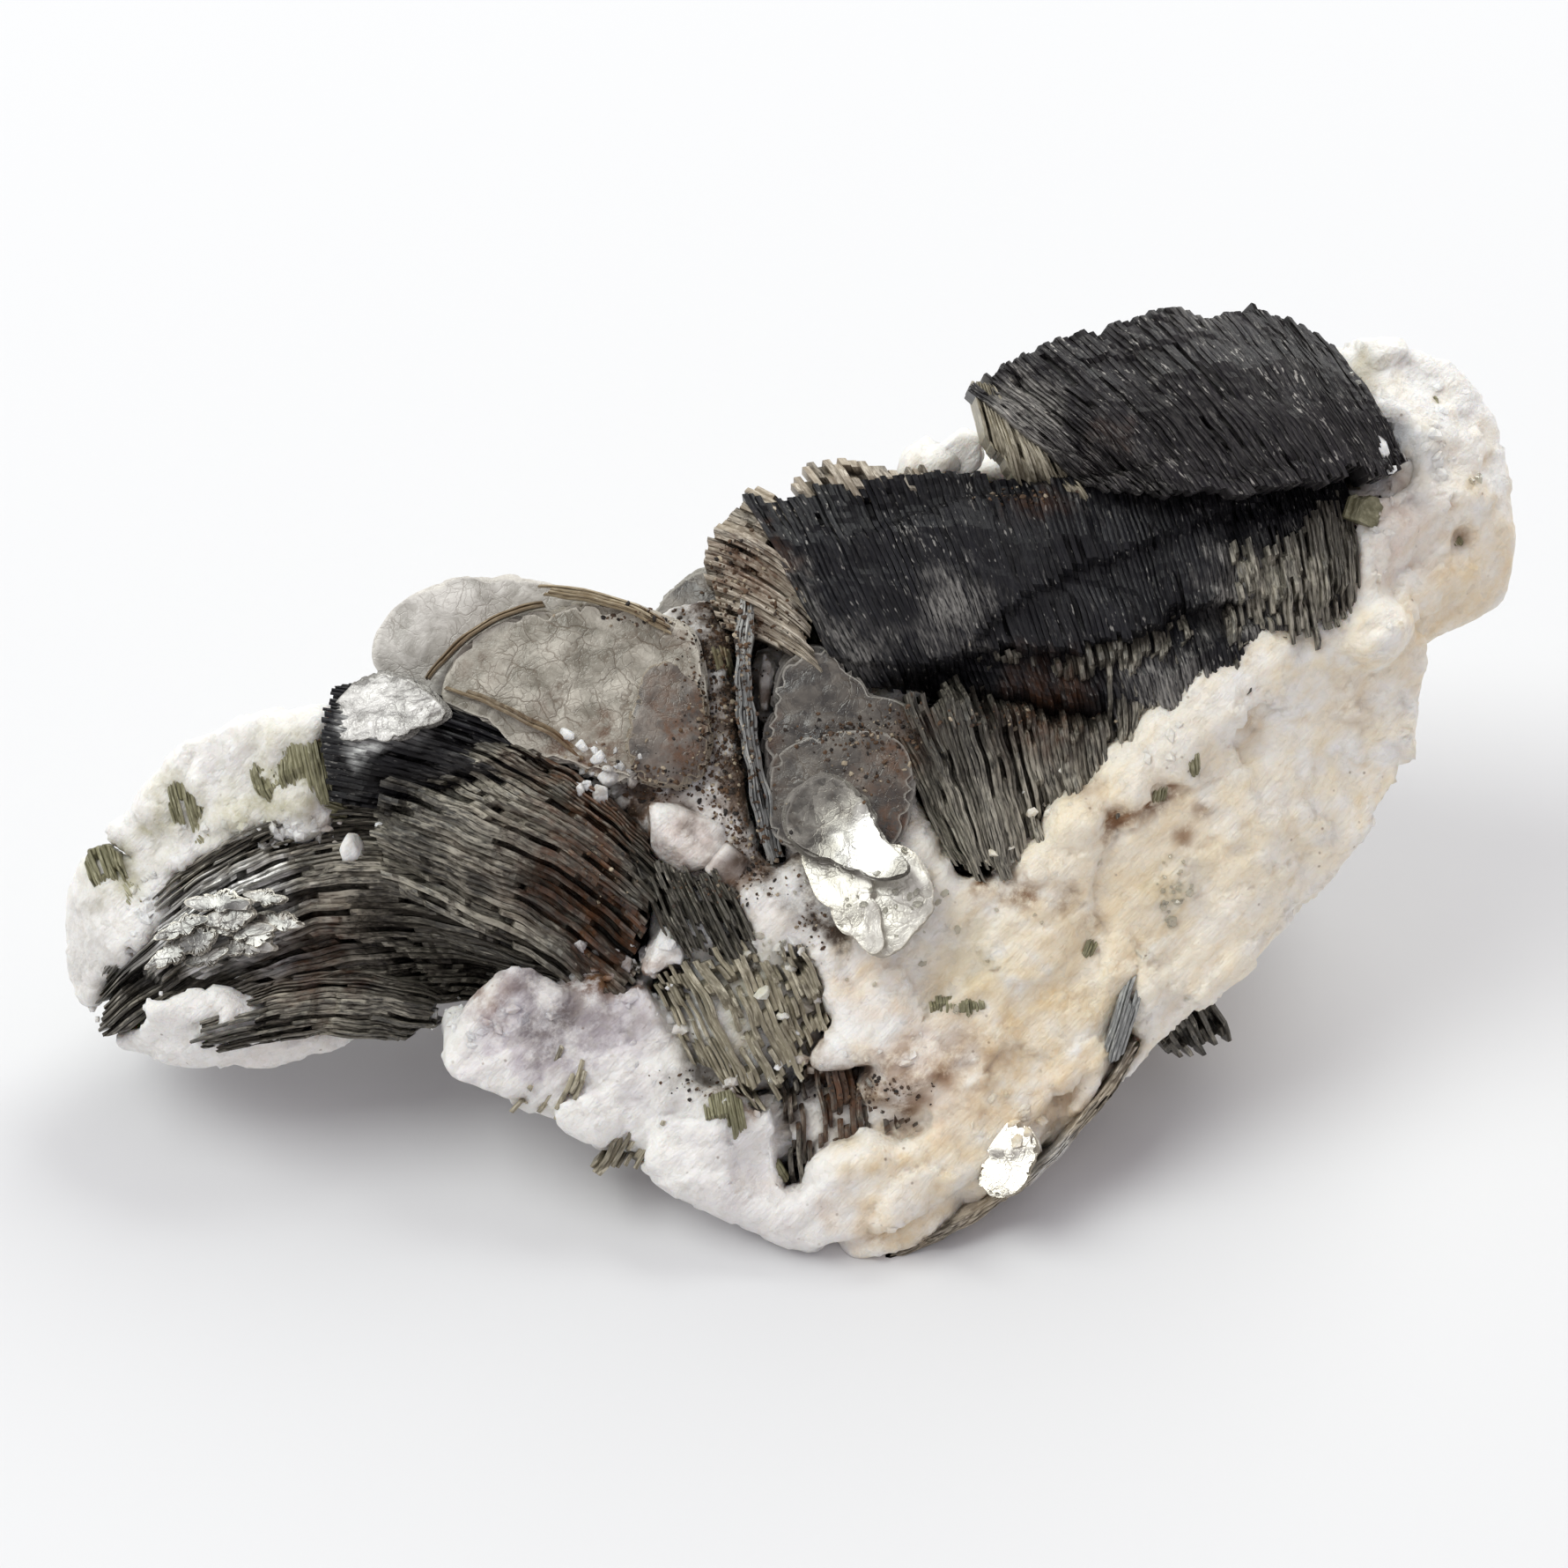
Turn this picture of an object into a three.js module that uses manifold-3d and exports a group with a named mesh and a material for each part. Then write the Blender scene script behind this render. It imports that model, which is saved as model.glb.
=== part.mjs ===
// A muscovite mica specimen on albite feldspar: a leaning wedge of white and cream rock that carries
// books of dark mica along its top edge and its left arm.
//
// Units are millimetres and +Z is up. The origin is the middle of the flat break that the rock rests on.
// The broad broken face of the rock leans back, so most pieces are laid out in the face's own frame:
// x runs along the specimen, y runs up the face and z stands out of it.
import * as THREE from "three";
import { ConvexGeometry } from "three/addons/geometries/ConvexGeometry.js";
import { ImprovedNoise } from "three/addons/math/ImprovedNoise.js";
import { mergeVertices } from "three/addons/utils/BufferGeometryUtils.js";
import Module from "manifold-3d";

const wasm = await Module();
wasm.setup();

// --- driving dimensions ---------------------------------------------------------------------------

const FACE_SLOPE_DEG = 48; // how steeply the broken face rises from the table
const FACE_HEIGHT = 18; // height of the face frame's origin above the table
const JOIN_GAP = 0.3; // clearance between a mica piece and what it is bedded in
const BED_SWELL = 0.45; // how much larger than its book a bed is, the gap and the bend of the sheets included
const LEDGE = 0.45; // how far one packet of sheets steps in or out of its neighbour
const END_STEPS = 1.6; // how much further the packets step at their ends than at their outer edge
const ROCK_FACET = 8.2; // longest edge of the rock's broken facets
const ROCK_RELIEF = 0.9; // depth of the lumps and pits on the rock
const ROCK_LUMP = 5; // width of those lumps
const ROCK_SUNK = -2; // how far the rock is drawn below the table before it is cut off flat
const PACKET_OVERLAP = 0.1; // how far each packet runs into the next, as a share of its thickness
const WELD = 1e-4; // corners closer than this are one corner

const COLOURS = {
  rock: { color: 0xe9e2d3, roughness: 0.75 },
  book: { color: 0x3a3a3c, roughness: 0.4 },
  pale_book: { color: 0x6e6a5a, roughness: 0.5 },
  plate: { color: 0x9c9c94, roughness: 0.25 },
};

// --- frames ---------------------------------------------------------------------------------------

const lean = new THREE.Matrix4()
  .makeTranslation(0, 0, FACE_HEIGHT)
  .multiply(
    new THREE.Matrix4().makeRotationX(
      THREE.MathUtils.degToRad(FACE_SLOPE_DEG),
    ),
  );
const unlean = lean.clone().invert();

// A point given over the table, in the face's frame.
const overTable = (x, y, z) => new THREE.Vector3(x, y, z).applyMatrix4(unlean);
const onFace = (x, y, z) => new THREE.Vector3(x, y, z);

// --- solids ---------------------------------------------------------------------------------------

function toSolid(geometry) {
  const bare = new THREE.BufferGeometry().setAttribute(
    "position",
    (geometry.index ? geometry.toNonIndexed() : geometry).getAttribute(
      "position",
    ),
  );
  const merged = mergeVertices(bare, WELD);
  return new wasm.Manifold(
    new wasm.Mesh({
      numProp: 3,
      vertProperties: merged.attributes.position.array,
      triVerts: new Uint32Array(merged.index.array),
    }),
  );
}

function toGeometry(solid) {
  const mesh = solid.getMesh();
  return new THREE.BufferGeometry()
    .setAttribute("position", new THREE.BufferAttribute(mesh.vertProperties, 3))
    .setIndex(new THREE.BufferAttribute(mesh.triVerts, 1));
}

const joined = (solids) => solids.reduce((a, b) => a.add(b));
const cutBy = (solid, cutters) => cutters.reduce((a, b) => a.subtract(b), solid);

// The largest body that a cut leaves; crumbs that break away are dropped.
const largest = (solid) =>
  solid.decompose().sort((a, b) => b.volume() - a.volume())[0];

// --- rock -----------------------------------------------------------------------------------------

const noise = new ImprovedNoise();

// Splits every edge longer than the given length, the same way in both triangles that share it.
function refine(geometry, longest) {
  let points = Array.from(geometry.attributes.position.array);
  let triangles = Array.from(geometry.index.array);
  const corner = (i) => new THREE.Vector3().fromArray(points, 3 * i);
  for (let again = true; again; ) {
    again = false;
    const middles = new Map();
    const middle = (i, j) => {
      if (corner(i).distanceTo(corner(j)) <= longest) return -1;
      const key = i < j ? `${i},${j}` : `${j},${i}`;
      if (!middles.has(key)) {
        middles.set(key, points.length / 3);
        points.push(...corner(i).lerp(corner(j), 0.5).toArray());
        again = true;
      }
      return middles.get(key);
    };
    const next = [];
    for (let f = 0; f < triangles.length; f += 3) {
      let [a, b, c] = triangles.slice(f, f + 3);
      let [ab, bc, ca] = [middle(a, b), middle(b, c), middle(c, a)];
      const split = [ab, bc, ca].filter((m) => m >= 0).length;
      if (split === 0) next.push(a, b, c);
      if (split === 3) next.push(a, ab, ca, ab, b, bc, ca, bc, c, ab, bc, ca);
      if (split === 1 || split === 2) {
        // turn the triangle until its first edge is split and, of two split edges, the last is whole
        while (ab < 0 || (split === 2 && ca >= 0)) {
          [a, b, c] = [b, c, a];
          [ab, bc, ca] = [bc, ca, ab];
        }
        if (split === 1) next.push(a, ab, c, ab, b, c);
        else next.push(ab, b, bc, a, ab, bc, a, bc, c);
      }
    }
    triangles = next;
  }
  return new THREE.BufferGeometry()
    .setAttribute("position", new THREE.Float32BufferAttribute(points, 3))
    .setIndex(triangles);
}

// Moves every corner by noise, most of all out of the face, which turns flat facets into broken rock.
const NOISE_STARTS = [new THREE.Vector3(0, 0, 7), new THREE.Vector3(31, 0, 0), new THREE.Vector3(0, 57, 0)];
const NOISE_SHARES = [1, 1, 1.4];
function roughen(geometry, height) {
  const position = geometry.attributes.position;
  const corner = new THREE.Vector3();
  for (let i = 0; i < position.count; i++) {
    corner.fromBufferAttribute(position, i);
    const moves = NOISE_STARTS.map((start, axis) => {
      const at = corner.clone().divideScalar(ROCK_LUMP).add(start);
      return height * NOISE_SHARES[axis] * noise.noise(at.x, at.y, at.z);
    });
    corner.add(new THREE.Vector3(...moves));
    position.setXYZ(i, ...corner.toArray());
  }
  return geometry;
}

const block = (points) => toSolid(new ConvexGeometry(points));

// The wedge's keel, which stands on the table, and its broad cream face.
const keel = block([
  ...[[5.5, -27], [-12.5, -12], [-19, -4], [-15, 14], [24, 22], [32, 10], [19, -9]].map(
    ([x, y]) => overTable(x, y, ROCK_SUNK),
  ),
  onFace(-22.5, -18.5, 9),
  onFace(6.4, -32.4, 10),
  onFace(20.8, -21.8, 8),
  onFace(31, -12.5, 7),
  onFace(36, -6.8, 6),
  onFace(24, 4, 8.5),
  onFace(6, -4, 9),
  onFace(-18, -12, 8),
  onFace(-20, 2, -16),
  onFace(36, 4, -16),
]);
const creamFace = block([
  onFace(12, -8, 9.5),
  onFace(27, 5, 9.5),
  onFace(36, 10, 9),
  onFace(43, 10, 6),
  onFace(41.5, 0, 5),
  onFace(36.3, -6.6, 6),
  onFace(31, -12, 6.5),
  onFace(20, -21, 8),
  onFace(8, -20, 9),
  onFace(10, 0, -12),
  onFace(38, 4, -10),
  onFace(26, -12, -6),
]);
// The broad back of the specimen, up behind the mica books.
const crest = block([
  onFace(-6, 10, 3),
  onFace(-4, 13.5, -3),
  onFace(8, 19, 1),
  onFace(12, 23.4, -5),
  onFace(20, 22, 3),
  onFace(38, 22, 4),
  onFace(40, 8, 5),
  onFace(-8, -4, 5),
  onFace(12, -6, 5),
  onFace(-10, 2, -20),
  onFace(4, 14, -19),
  onFace(22, 19, -21),
  onFace(38, 20, -14),
  onFace(40, 4, -16),
]);
// The white knob at the upper right end.
const knob = block([
  onFace(36, 29, 4),
  onFace(41, 29.6, 5),
  onFace(45.5, 28.5, 4),
  onFace(48.4, 25, 3.5),
  onFace(47.5, 21, 5),
  onFace(49.4, 16.5, 4),
  onFace(48.6, 12.6, 3),
  onFace(43, 9, 4),
  onFace(37, 12, 9),
  onFace(38.5, 22, 10),
  onFace(43, 22, 9),
  onFace(34, 24, -10),
  onFace(44, 24, -9),
  onFace(46, 13, -8),
  onFace(36, 8, -12),
]);
// A lump that stands back from the lower right edge.
const heel = block([
  onFace(38, -1, 1),
  onFace(41, 0, 0),
  onFace(43.5, 5, 0),
  onFace(43.5, 9, 1),
  onFace(38, 9, 2),
  onFace(37, -1, -9),
  onFace(41, 3, -9),
  onFace(40, 9, -10),
]);
// The left arm, which hangs clear of the table, and the rounded lump at its tip.
const arm = block([
  onFace(-46, -12, 1),
  onFace(-44, -4, 2),
  onFace(-38.5, 1.5, 3),
  onFace(-35, 4, 3),
  onFace(-30.5, 4.4, 3),
  onFace(-26, 2, 3),
  onFace(-14, 2, 4),
  onFace(-14, -12, 6),
  onFace(-21, -15.5, 5),
  onFace(-28, -16.5, 2.5),
  onFace(-36, -18, 2),
  onFace(-44, -9, -5),
  onFace(-36, -13, -3),
  onFace(-34, 0, -10),
  onFace(-20, 4, -15),
  onFace(-18, -10, -7),
]);
const tip = block([
  onFace(-49.0, -8.5, 2),
  onFace(-48.6, -13.4, 2.5),
  onFace(-47, -16.8, 3),
  onFace(-44.6, -18, 4),
  onFace(-39.8, -19.2, 4.5),
  onFace(-34.4, -18.8, 4),
  onFace(-29, -17.4, 3),
  onFace(-36, -15.6, 8),
  onFace(-41.5, -15.2, 8),
  onFace(-47.4, -5.5, 3),
  onFace(-41, -6, 4),
  onFace(-46, -10, -2.5),
  onFace(-38, -14, -2),
  onFace(-30, -12, -2),
  onFace(-40, -6, -4),
]);
const shoulder = block([
  onFace(-46, -4, 3),
  onFace(-42, -0.5, 4),
  onFace(-40.5, 2, 4.5),
  onFace(-37, 3.8, 5),
  onFace(-30.5, 4.4, 5),
  onFace(-29.5, 0, 6.5),
  onFace(-34, -3, 6.5),
  onFace(-42, -6, 5),
  onFace(-40, -2, -3),
  onFace(-32, 2, -4),
]);

// The low saddle between the arm and the crest, which the pale discs lean on.
const saddle = block([
  onFace(-27, 3, 3.5),
  onFace(-20, 6.5, 3.5),
  onFace(-12, 9.5, 4),
  onFace(-4, 13, 4),
  onFace(-1, 8, 6.5),
  onFace(-2, -6, 8),
  onFace(-13, -5, 6),
  onFace(-14, 3, 4.5),
  onFace(-24, 0, -6),
  onFace(-8, 8, -8),
  onFace(-2, 6, -10),
  onFace(-6, -6, -6),
]);

const TABLE = { width: 300, depth: 100 };
const table = toSolid(
  new THREE.BoxGeometry(TABLE.width, TABLE.width, TABLE.depth)
    .translate(0, 0, -TABLE.depth / 2)
    .applyMatrix4(unlean),
);
const rock = toSolid(
  roughen(
    refine(
      toGeometry(joined([keel, creamFace, crest, knob, heel, arm, tip, shoulder, saddle])),
      ROCK_FACET,
    ),
    ROCK_RELIEF,
  ),
);

// --- mica books -----------------------------------------------------------------------------------

// A book is a stack of sheets seen edge-on, made as packets that step in and out of each other.
// Each station is one sheet of the stack, from its first to its last: [x, y] of the sheet's middle,
// the angle in degrees that it runs at, half its length, the sag of its two ends, and the heights of
// its outer and inner edges. The profile is how far the outer edge lies back, from the sheet's one
// end to its other.
const station = (x, y, angle, half, sag, front, back) => ({ x, y, angle, half, sag, front, back });
const books = [
  {
    name: "cap_book",
    look: "book",
    packets: 9,
    profile: [-5, -0.8, 0.3, -1.5],
    stations: [
      station(16.2, 22.7, -40, 4.7, 0, 11, 4),
      station(20.8, 23.4, -47, 6.3, 0, 13.5, 3),
      station(27.6, 25.0, -51, 7.0, 0, 14.5, 2),
      station(34.0, 25.7, -57, 6.3, 0, 14, 2),
      station(38.5, 25.0, -62, 4.5, 0, 12, 3),
    ],
  },
  {
    name: "upper_book",
    look: "book",
    packets: 11,
    profile: [-4, -0.3, 0, -1, -3],
    stations: [
      station(1.4, 13.6, -62, 5.8, 0, 9.5, -2),
      station(12.1, 12.9, -70, 7.5, 0, 11.5, -3),
      station(23.7, 11.6, -75, 8.7, 0, 11.5, -3),
      station(32.4, 14.3, -78, 5.8, 0, 10.5, -2),
      station(37.4, 15.9, -80, 4.2, 0, 9.5, 0),
    ],
  },
  {
    name: "fan_book",
    look: "pale_book",
    packets: 6,
    profile: [-3, -0.5, 0, 0],
    stations: [
      station(-0.6, 9.2, -28, 3.0, 0.3, 9, 1),
      station(-1.6, 12.5, -30, 3.4, 0.4, 10, 0),
      station(-1.2, 15.5, -34, 3.4, 0.4, 9.5, 0),
      station(0.4, 18.6, -42, 2.4, 0.3, 8, 0),
    ],
  },
  {
    name: "fringe_book",
    look: "pale_book",
    packets: 12,
    profile: [0.6, 0, -1.6],
    stations: [
      station(9.0, -1.4, -64, 4.5, 0, 9.6, 1),
      station(13.0, 0.2, -74, 6.3, 0, 10.2, 1),
      station(17.4, 2.3, -80, 5.6, 0, 10.4, 1),
      station(22.0, 4.4, -85, 4.8, 0, 10.6, 1),
      station(26.4, 5.6, -88, 4.2, 0, 10.8, 1),
      station(30.4, 7.0, -88, 3.0, 0, 10.2, 1),
    ],
  },
  {
    name: "left_upper_book",
    look: "book",
    packets: 7,
    profile: [-1.6, 0.3, 0.3, -0.8],
    stations: [
      station(-18.7, -10.5, -30, 7.4, 0.8, 8.5, -1),
      station(-18.1, -7.0, -28, 9.2, 1.0, 10.5, -1),
      station(-17.0, -3.5, -28, 9.6, 1.0, 11, -1),
      station(-14.6, -1.2, -33, 7.6, 0.8, 10, 0),
      station(-13.3, 0.3, -36, 5.6, 0.6, 9, 0),
    ],
  },
  {
    name: "left_top_book",
    look: "book",
    packets: 6,
    profile: [-2, 0.2, 0, -0.8],
    stations: [
      station(-27.2, -1.6, -8, 2.6, 0, 7.5, 0),
      station(-25.4, 0.8, -14, 4.6, 0.2, 9, 0),
      station(-22.8, 2.9, -18, 7.3, 0.5, 9.5, 0),
      station(-23.6, 5.2, -16, 6.2, 0.5, 8, 0),
      station(-26.0, 6.6, -10, 2.8, 0.2, 6, 1),
    ],
  },
  {
    name: "left_lower_book",
    look: "book",
    packets: 8,
    profile: [-2.2, 0.2, 0.4, 0, -1.8],
    stations: [
      station(-26.6, -14.8, 0, 9.4, 0.8, 5.5, -1),
      station(-26.2, -12.4, 2, 12.2, 2.0, 6.5, -2),
      station(-28.5, -9.4, 3, 16.8, 6.2, 7.5, -2),
      station(-28.9, -5.8, 3, 17.2, 7.6, 7.5, -2),
      station(-29.6, -3.0, 4, 16.2, 8.4, 6.5, -2),
    ],
  },
  {
    name: "inner_book",
    look: "pale_book",
    packets: 5,
    profile: [-0.4, 0, -0.5],
    stations: [
      station(-8.0, -7.8, -68, 2.6, 0, 9.6, 2),
      station(-5.2, -8.8, -66, 3.8, 0, 10.4, 2),
      station(-2.6, -9.2, -66, 2.8, 0, 10, 2),
    ],
  },
  {
    name: "green_book",
    look: "pale_book",
    packets: 8,
    profile: [-0.4, 0.1, -0.4],
    stations: [
      station(-7.2, -16.2, -60, 3.0, 0, 9.6, 2),
      station(-4.0, -16.6, -62, 4.4, 0, 10.2, 2),
      station(-0.6, -14.8, -64, 3.6, 0, 10.3, 2),
      station(2.4, -13.2, -66, 1.8, 0, 10, 2),
    ],
  },
  {
    name: "lower_book",
    look: "pale_book",
    packets: 6,
    profile: [-0.6, 0, -0.8],
    stations: [
      station(0.2, -23.8, -84, 2.2, 0, 9.8, 3),
      station(2.8, -22.4, -82, 2.8, 0, 10.2, 3),
      station(6.0, -21.4, -80, 2.2, 0, 10, 3),
      station(9.0, -20.6, -80, 1.2, 0, 9.6, 4),
    ],
  },
  {
    name: "edge_book_left",
    look: "pale_book",
    packets: 3,
    profile: [-0.5, 0, -0.5],
    stations: [station(-16.2, -19.6, -118, 2.2, 0.2, 9.9, 4), station(-14.3, -20.6, -116, 2.2, 0.2, 10.1, 4)],
  },
  {
    name: "edge_book_middle",
    look: "pale_book",
    packets: 3,
    profile: [-0.5, 0, -0.5],
    stations: [station(-10.6, -22.6, -114, 1.6, 0.1, 9.9, 4), station(-8.8, -23.3, -112, 1.9, 0.1, 10.2, 4)],
  },
  {
    name: "nub_book",
    look: "book",
    packets: 4,
    profile: [-1, 0, -1],
    stations: [station(25.6, -17.6, -50, 1.4, 0, 5, -1), station(29.2, -14.6, -56, 2.4, 0.2, 4.4, -1)],
  },
  {
    name: "edge_plate",
    look: "plate",
    packets: 1,
    profile: [-1.5, 0.3, 0.6, 0, -1.2],
    stations: [station(-3.0, 3.6, -84, 8.4, -0.9, 10.5, 2), station(-1.8, 3.6, -84, 8.2, -0.9, 10.0, 2)],
  },
  {
    name: "rim_plate",
    look: "book",
    packets: 3,
    profile: [-0.4, 0.2, -0.3, 0.2, 0, 0.1, -0.4],
    stations: [
      station(17.2, -25.4, 43, 14.6, -3.9, 8.2, 1),
      station(16.5, -24.6, 43, 15.0, -3.9, 8.8, 1),
      station(15.8, -23.8, 43, 14.4, -3.9, 8.8, 1),
    ],
  },
];

const stationAt = (stations, t) => {
  const at = THREE.MathUtils.clamp(t, 0, 1) * (stations.length - 1);
  const i = Math.min(Math.floor(at), stations.length - 2);
  const mixed = {};
  for (const key of Object.keys(stations[0]))
    mixed[key] = THREE.MathUtils.lerp(stations[i][key], stations[i + 1][key], at - i);
  return mixed;
};

const profileAt = (profile, u) => {
  const at = THREE.MathUtils.clamp(u, 0, 1) * (profile.length - 1);
  const i = Math.min(Math.floor(at), profile.length - 2);
  return THREE.MathUtils.lerp(profile[i], profile[i + 1], at - i);
};

// One packet of a book: a box bent between two of the stack's sheets. Its ends and its outer edge
// step by the given offsets, and swell makes it larger all round, for the bed that it lies in.
function packet(book, from, to, { start = 0, end = 0, out = 0, swell = 0 } = {}) {
  const columns = book.profile.length - 1;
  const box = new THREE.BoxGeometry(1, 1, 1, columns, 1, 1);
  const position = box.attributes.position;
  for (let i = 0; i < position.count; i++) {
    const along = position.getX(i) + 0.5;
    const across = position.getY(i) + 0.5;
    const outer = position.getZ(i) > 0;
    const s = stationAt(book.stations, across ? to : from);
    const run = THREE.MathUtils.lerp(-s.half - start - swell, s.half + end + swell, along);
    const lift = (across ? swell : -swell) - s.sag * (run / s.half) ** 2;
    const turn = THREE.MathUtils.degToRad(s.angle);
    position.setXYZ(
      i,
      s.x + run * Math.cos(turn) - lift * Math.sin(turn),
      s.y + run * Math.sin(turn) + lift * Math.cos(turn),
      outer ? s.front + profileAt(book.profile, along) + out + swell : s.back - swell,
    );
  }
  return toSolid(box);
}

// Packets step out and in by turns, each by its own amount, so that no two faces lie almost flush.
const stepOf = (i, seed) => (i % 2 ? 1 : -1) * LEDGE * (0.35 + 0.65 * THREE.MathUtils.seededRandom(seed + i));

function bookSolid(book, seed) {
  const packets = Array.from({ length: book.packets }, (_, i) => {
    const overlap = i + 1 < book.packets ? PACKET_OVERLAP : 0;
    return packet(book, i / book.packets, (i + 1 + overlap) / book.packets, {
      start: END_STEPS * stepOf(i, seed),
      end: END_STEPS * stepOf(i, seed + 31),
      out: stepOf(i, seed + 57),
    });
  });
  return joined(packets);
}

// The bed that a book lies in: its plain form, swollen by the ledges, the bend and the gap. A flat
// book's bed has a straight outer edge.
function bedSolid(book) {
  const curved = book.stations.some(({ sag }) => sag !== 0);
  const highest = Math.max(...book.profile);
  const bed = { ...book, profile: curved ? book.profile : [highest, highest] };
  const spans = book.stations.length - 1;
  return joined(
    Array.from({ length: spans }, (_, i) =>
      packet(bed, i / spans, (i + 1 + PACKET_OVERLAP / 4) / spans, {
        start: END_STEPS * LEDGE,
        end: END_STEPS * LEDGE,
        out: LEDGE,
        swell: BED_SWELL,
      }),
    ),
  );
}

// --- mica plates ----------------------------------------------------------------------------------

// A plate is a crystal that shows the flat face of its sheets: its outline on the rock's broken face,
// how high the middle of that outline stands, how steeply it tilts along x and y, and its thickness.
const plate = (outline, height, slopeX, slopeY, thickness) => ({
  outline,
  height,
  slopeX,
  slopeY,
  thickness,
});
const plates = [
  {
    name: "front_disc",
    layers: [
      plate(
        [
          [-23, 5.3], [-22.6, 7.3], [-21.1, 9.5], [-18.8, 10.8], [-15.5, 11.5], [-11.7, 11.8], [-8.5, 11.3],
          [-6, 10.2], [-5.4, 7.6], [-5.4, 3], [-8.8, 0.2], [-14, 1.4], [-19.3, 4.0],
        ],
        7.4, 0.04, -0.1, 2.2,
      ),
      plate(
        [[-9.6, 8.6], [-7.2, 8.8], [-5.2, 6.5], [-4.6, 3], [-5.4, 0.6], [-9.4, 0.4], [-10.6, 4]],
        8.6, -0.1, -0.1, 1.8,
      ),
    ],
  },
  {
    name: "back_disc",
    layers: [
      plate(
        [
          [-27.8, 8.3], [-27.6, 10.1], [-26.2, 12.0], [-23.6, 13.2], [-20, 13.7], [-17, 13.6], [-14, 12.6],
          [-8, 11.4], [-8, 8], [-18, 5], [-24.6, 5.9],
        ],
        5.2, 0.05, -0.05, 1.6,
      ),
    ],
  },
  {
    name: "silver_book",
    layers: [
      plate(
        [
          [1, 8.4], [2.3, 9], [3.6, 8.1], [5.6, 5.8], [8.6, 5], [9.6, 3], [8, -1], [0, -2], [-1.2, 1.5],
          [-0.6, 5],
        ],
        8.4, 0.05, -0.2, 3,
      ),
      plate(
        [
          [-1.2, -0.6], [-0.4, 1.6], [1, 2.8], [3.6, 3.5], [6.6, 3.6], [8.6, 2.4], [8.8, -2.6], [6.4, -5],
          [1, -5], [-0.9, -3.4],
        ],
        9.6, 0.05, -0.3, 2.4,
      ),
      plate(
        [
          [-0.7, -3], [-0.3, -1.2], [1, 0.1], [2.8, 0.6], [4.8, -0.4], [7, -3.4], [7.6, -6], [4, -6.4],
          [1.3, -4.9],
        ],
        10.6, 0.05, -0.35, 2,
      ),
      plate(
        [
          [1.4, -4.7], [3.8, -4.6], [7.8, -4.4], [9.1, -6.4], [9.2, -8.6], [6.8, -10.2], [5.9, -10.5],
          [4.2, -8.6], [2.2, -6],
        ],
        11.2, 0.05, -0.4, 1.8,
      ),
    ],
  },
  {
    name: "back_plate",
    layers: [
      plate(
        [[-10, 9.5], [-8.8, 12], [-7.2, 13.8], [-5.4, 14.9], [-3, 15.6], [1, 15.5], [2, 11], [-2, 8]],
        0.5, 0.1, -0.25, 2.6,
      ),
    ],
  },
];

// A layer's outline drawn out to its thickness and tilted; swell makes it larger all round.
function layerSolid({ outline, height, slopeX, slopeY, thickness }, swell = 0) {
  const shape = new THREE.Shape(outline.map(([x, y]) => new THREE.Vector2(x, y)));
  const slab = new THREE.ExtrudeGeometry(shape, {
    depth: thickness,
    bevelEnabled: swell > 0,
    bevelThickness: swell,
    bevelSize: swell,
    bevelSegments: 1,
  });
  slab.computeBoundingBox();
  const middle = slab.boundingBox.getCenter(new THREE.Vector3());
  const position = slab.attributes.position;
  for (let i = 0; i < position.count; i++) {
    const tilt = slopeX * (position.getX(i) - middle.x) + slopeY * (position.getY(i) - middle.y);
    position.setZ(i, position.getZ(i) + height - thickness + tilt);
  }
  return toSolid(slab);
}
const plateSolid = (layers, swell) => joined(layers.map((layer) => layerSolid(layer, swell)));

// --- build ----------------------------------------------------------------------------------------

const specimen = new THREE.Group();
function add(name, look, solid) {
  const mesh = new THREE.Mesh(
    toGeometry(solid).applyMatrix4(lean),
    new THREE.MeshStandardMaterial({ ...COLOURS[look], metalness: 0 }),
  );
  mesh.name = name;
  specimen.add(mesh);
}

const beds = [table];
books.forEach((book, i) => {
  add(book.name, book.look, largest(cutBy(bookSolid(book, 100 * i), beds)));
  beds.push(bedSolid(book));
});
plates.forEach(({ name, layers }) => {
  add(name, "plate", largest(cutBy(plateSolid(layers, 0), beds)));
  beds.push(plateSolid(layers, JOIN_GAP));
});
add("rock", "rock", largest(cutBy(rock, beds)));

export default specimen;
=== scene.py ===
"""A muscovite mica specimen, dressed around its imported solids.

Books and plates of dark mica sit in a leaning wedge of feldspar rock. A book is a stack of thin sheets
seen edge-on, a plate is a pile of thin sheets seen face-on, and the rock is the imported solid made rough.

Sizes are millimetres in the frame of the rock's broad broken face: x runs along the specimen, y runs up
the face and z stands out of it. Finished meshes are in metres over the table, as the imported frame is.
"""

from __future__ import annotations

import logging
import math
import random
from dataclasses import dataclass, field
from enum import Enum
from typing import Callable, Iterable, Sequence

import bmesh
import bpy
import numpy as np
from mathutils import Matrix, Vector, noise
from mathutils.bvhtree import BVHTree


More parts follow.
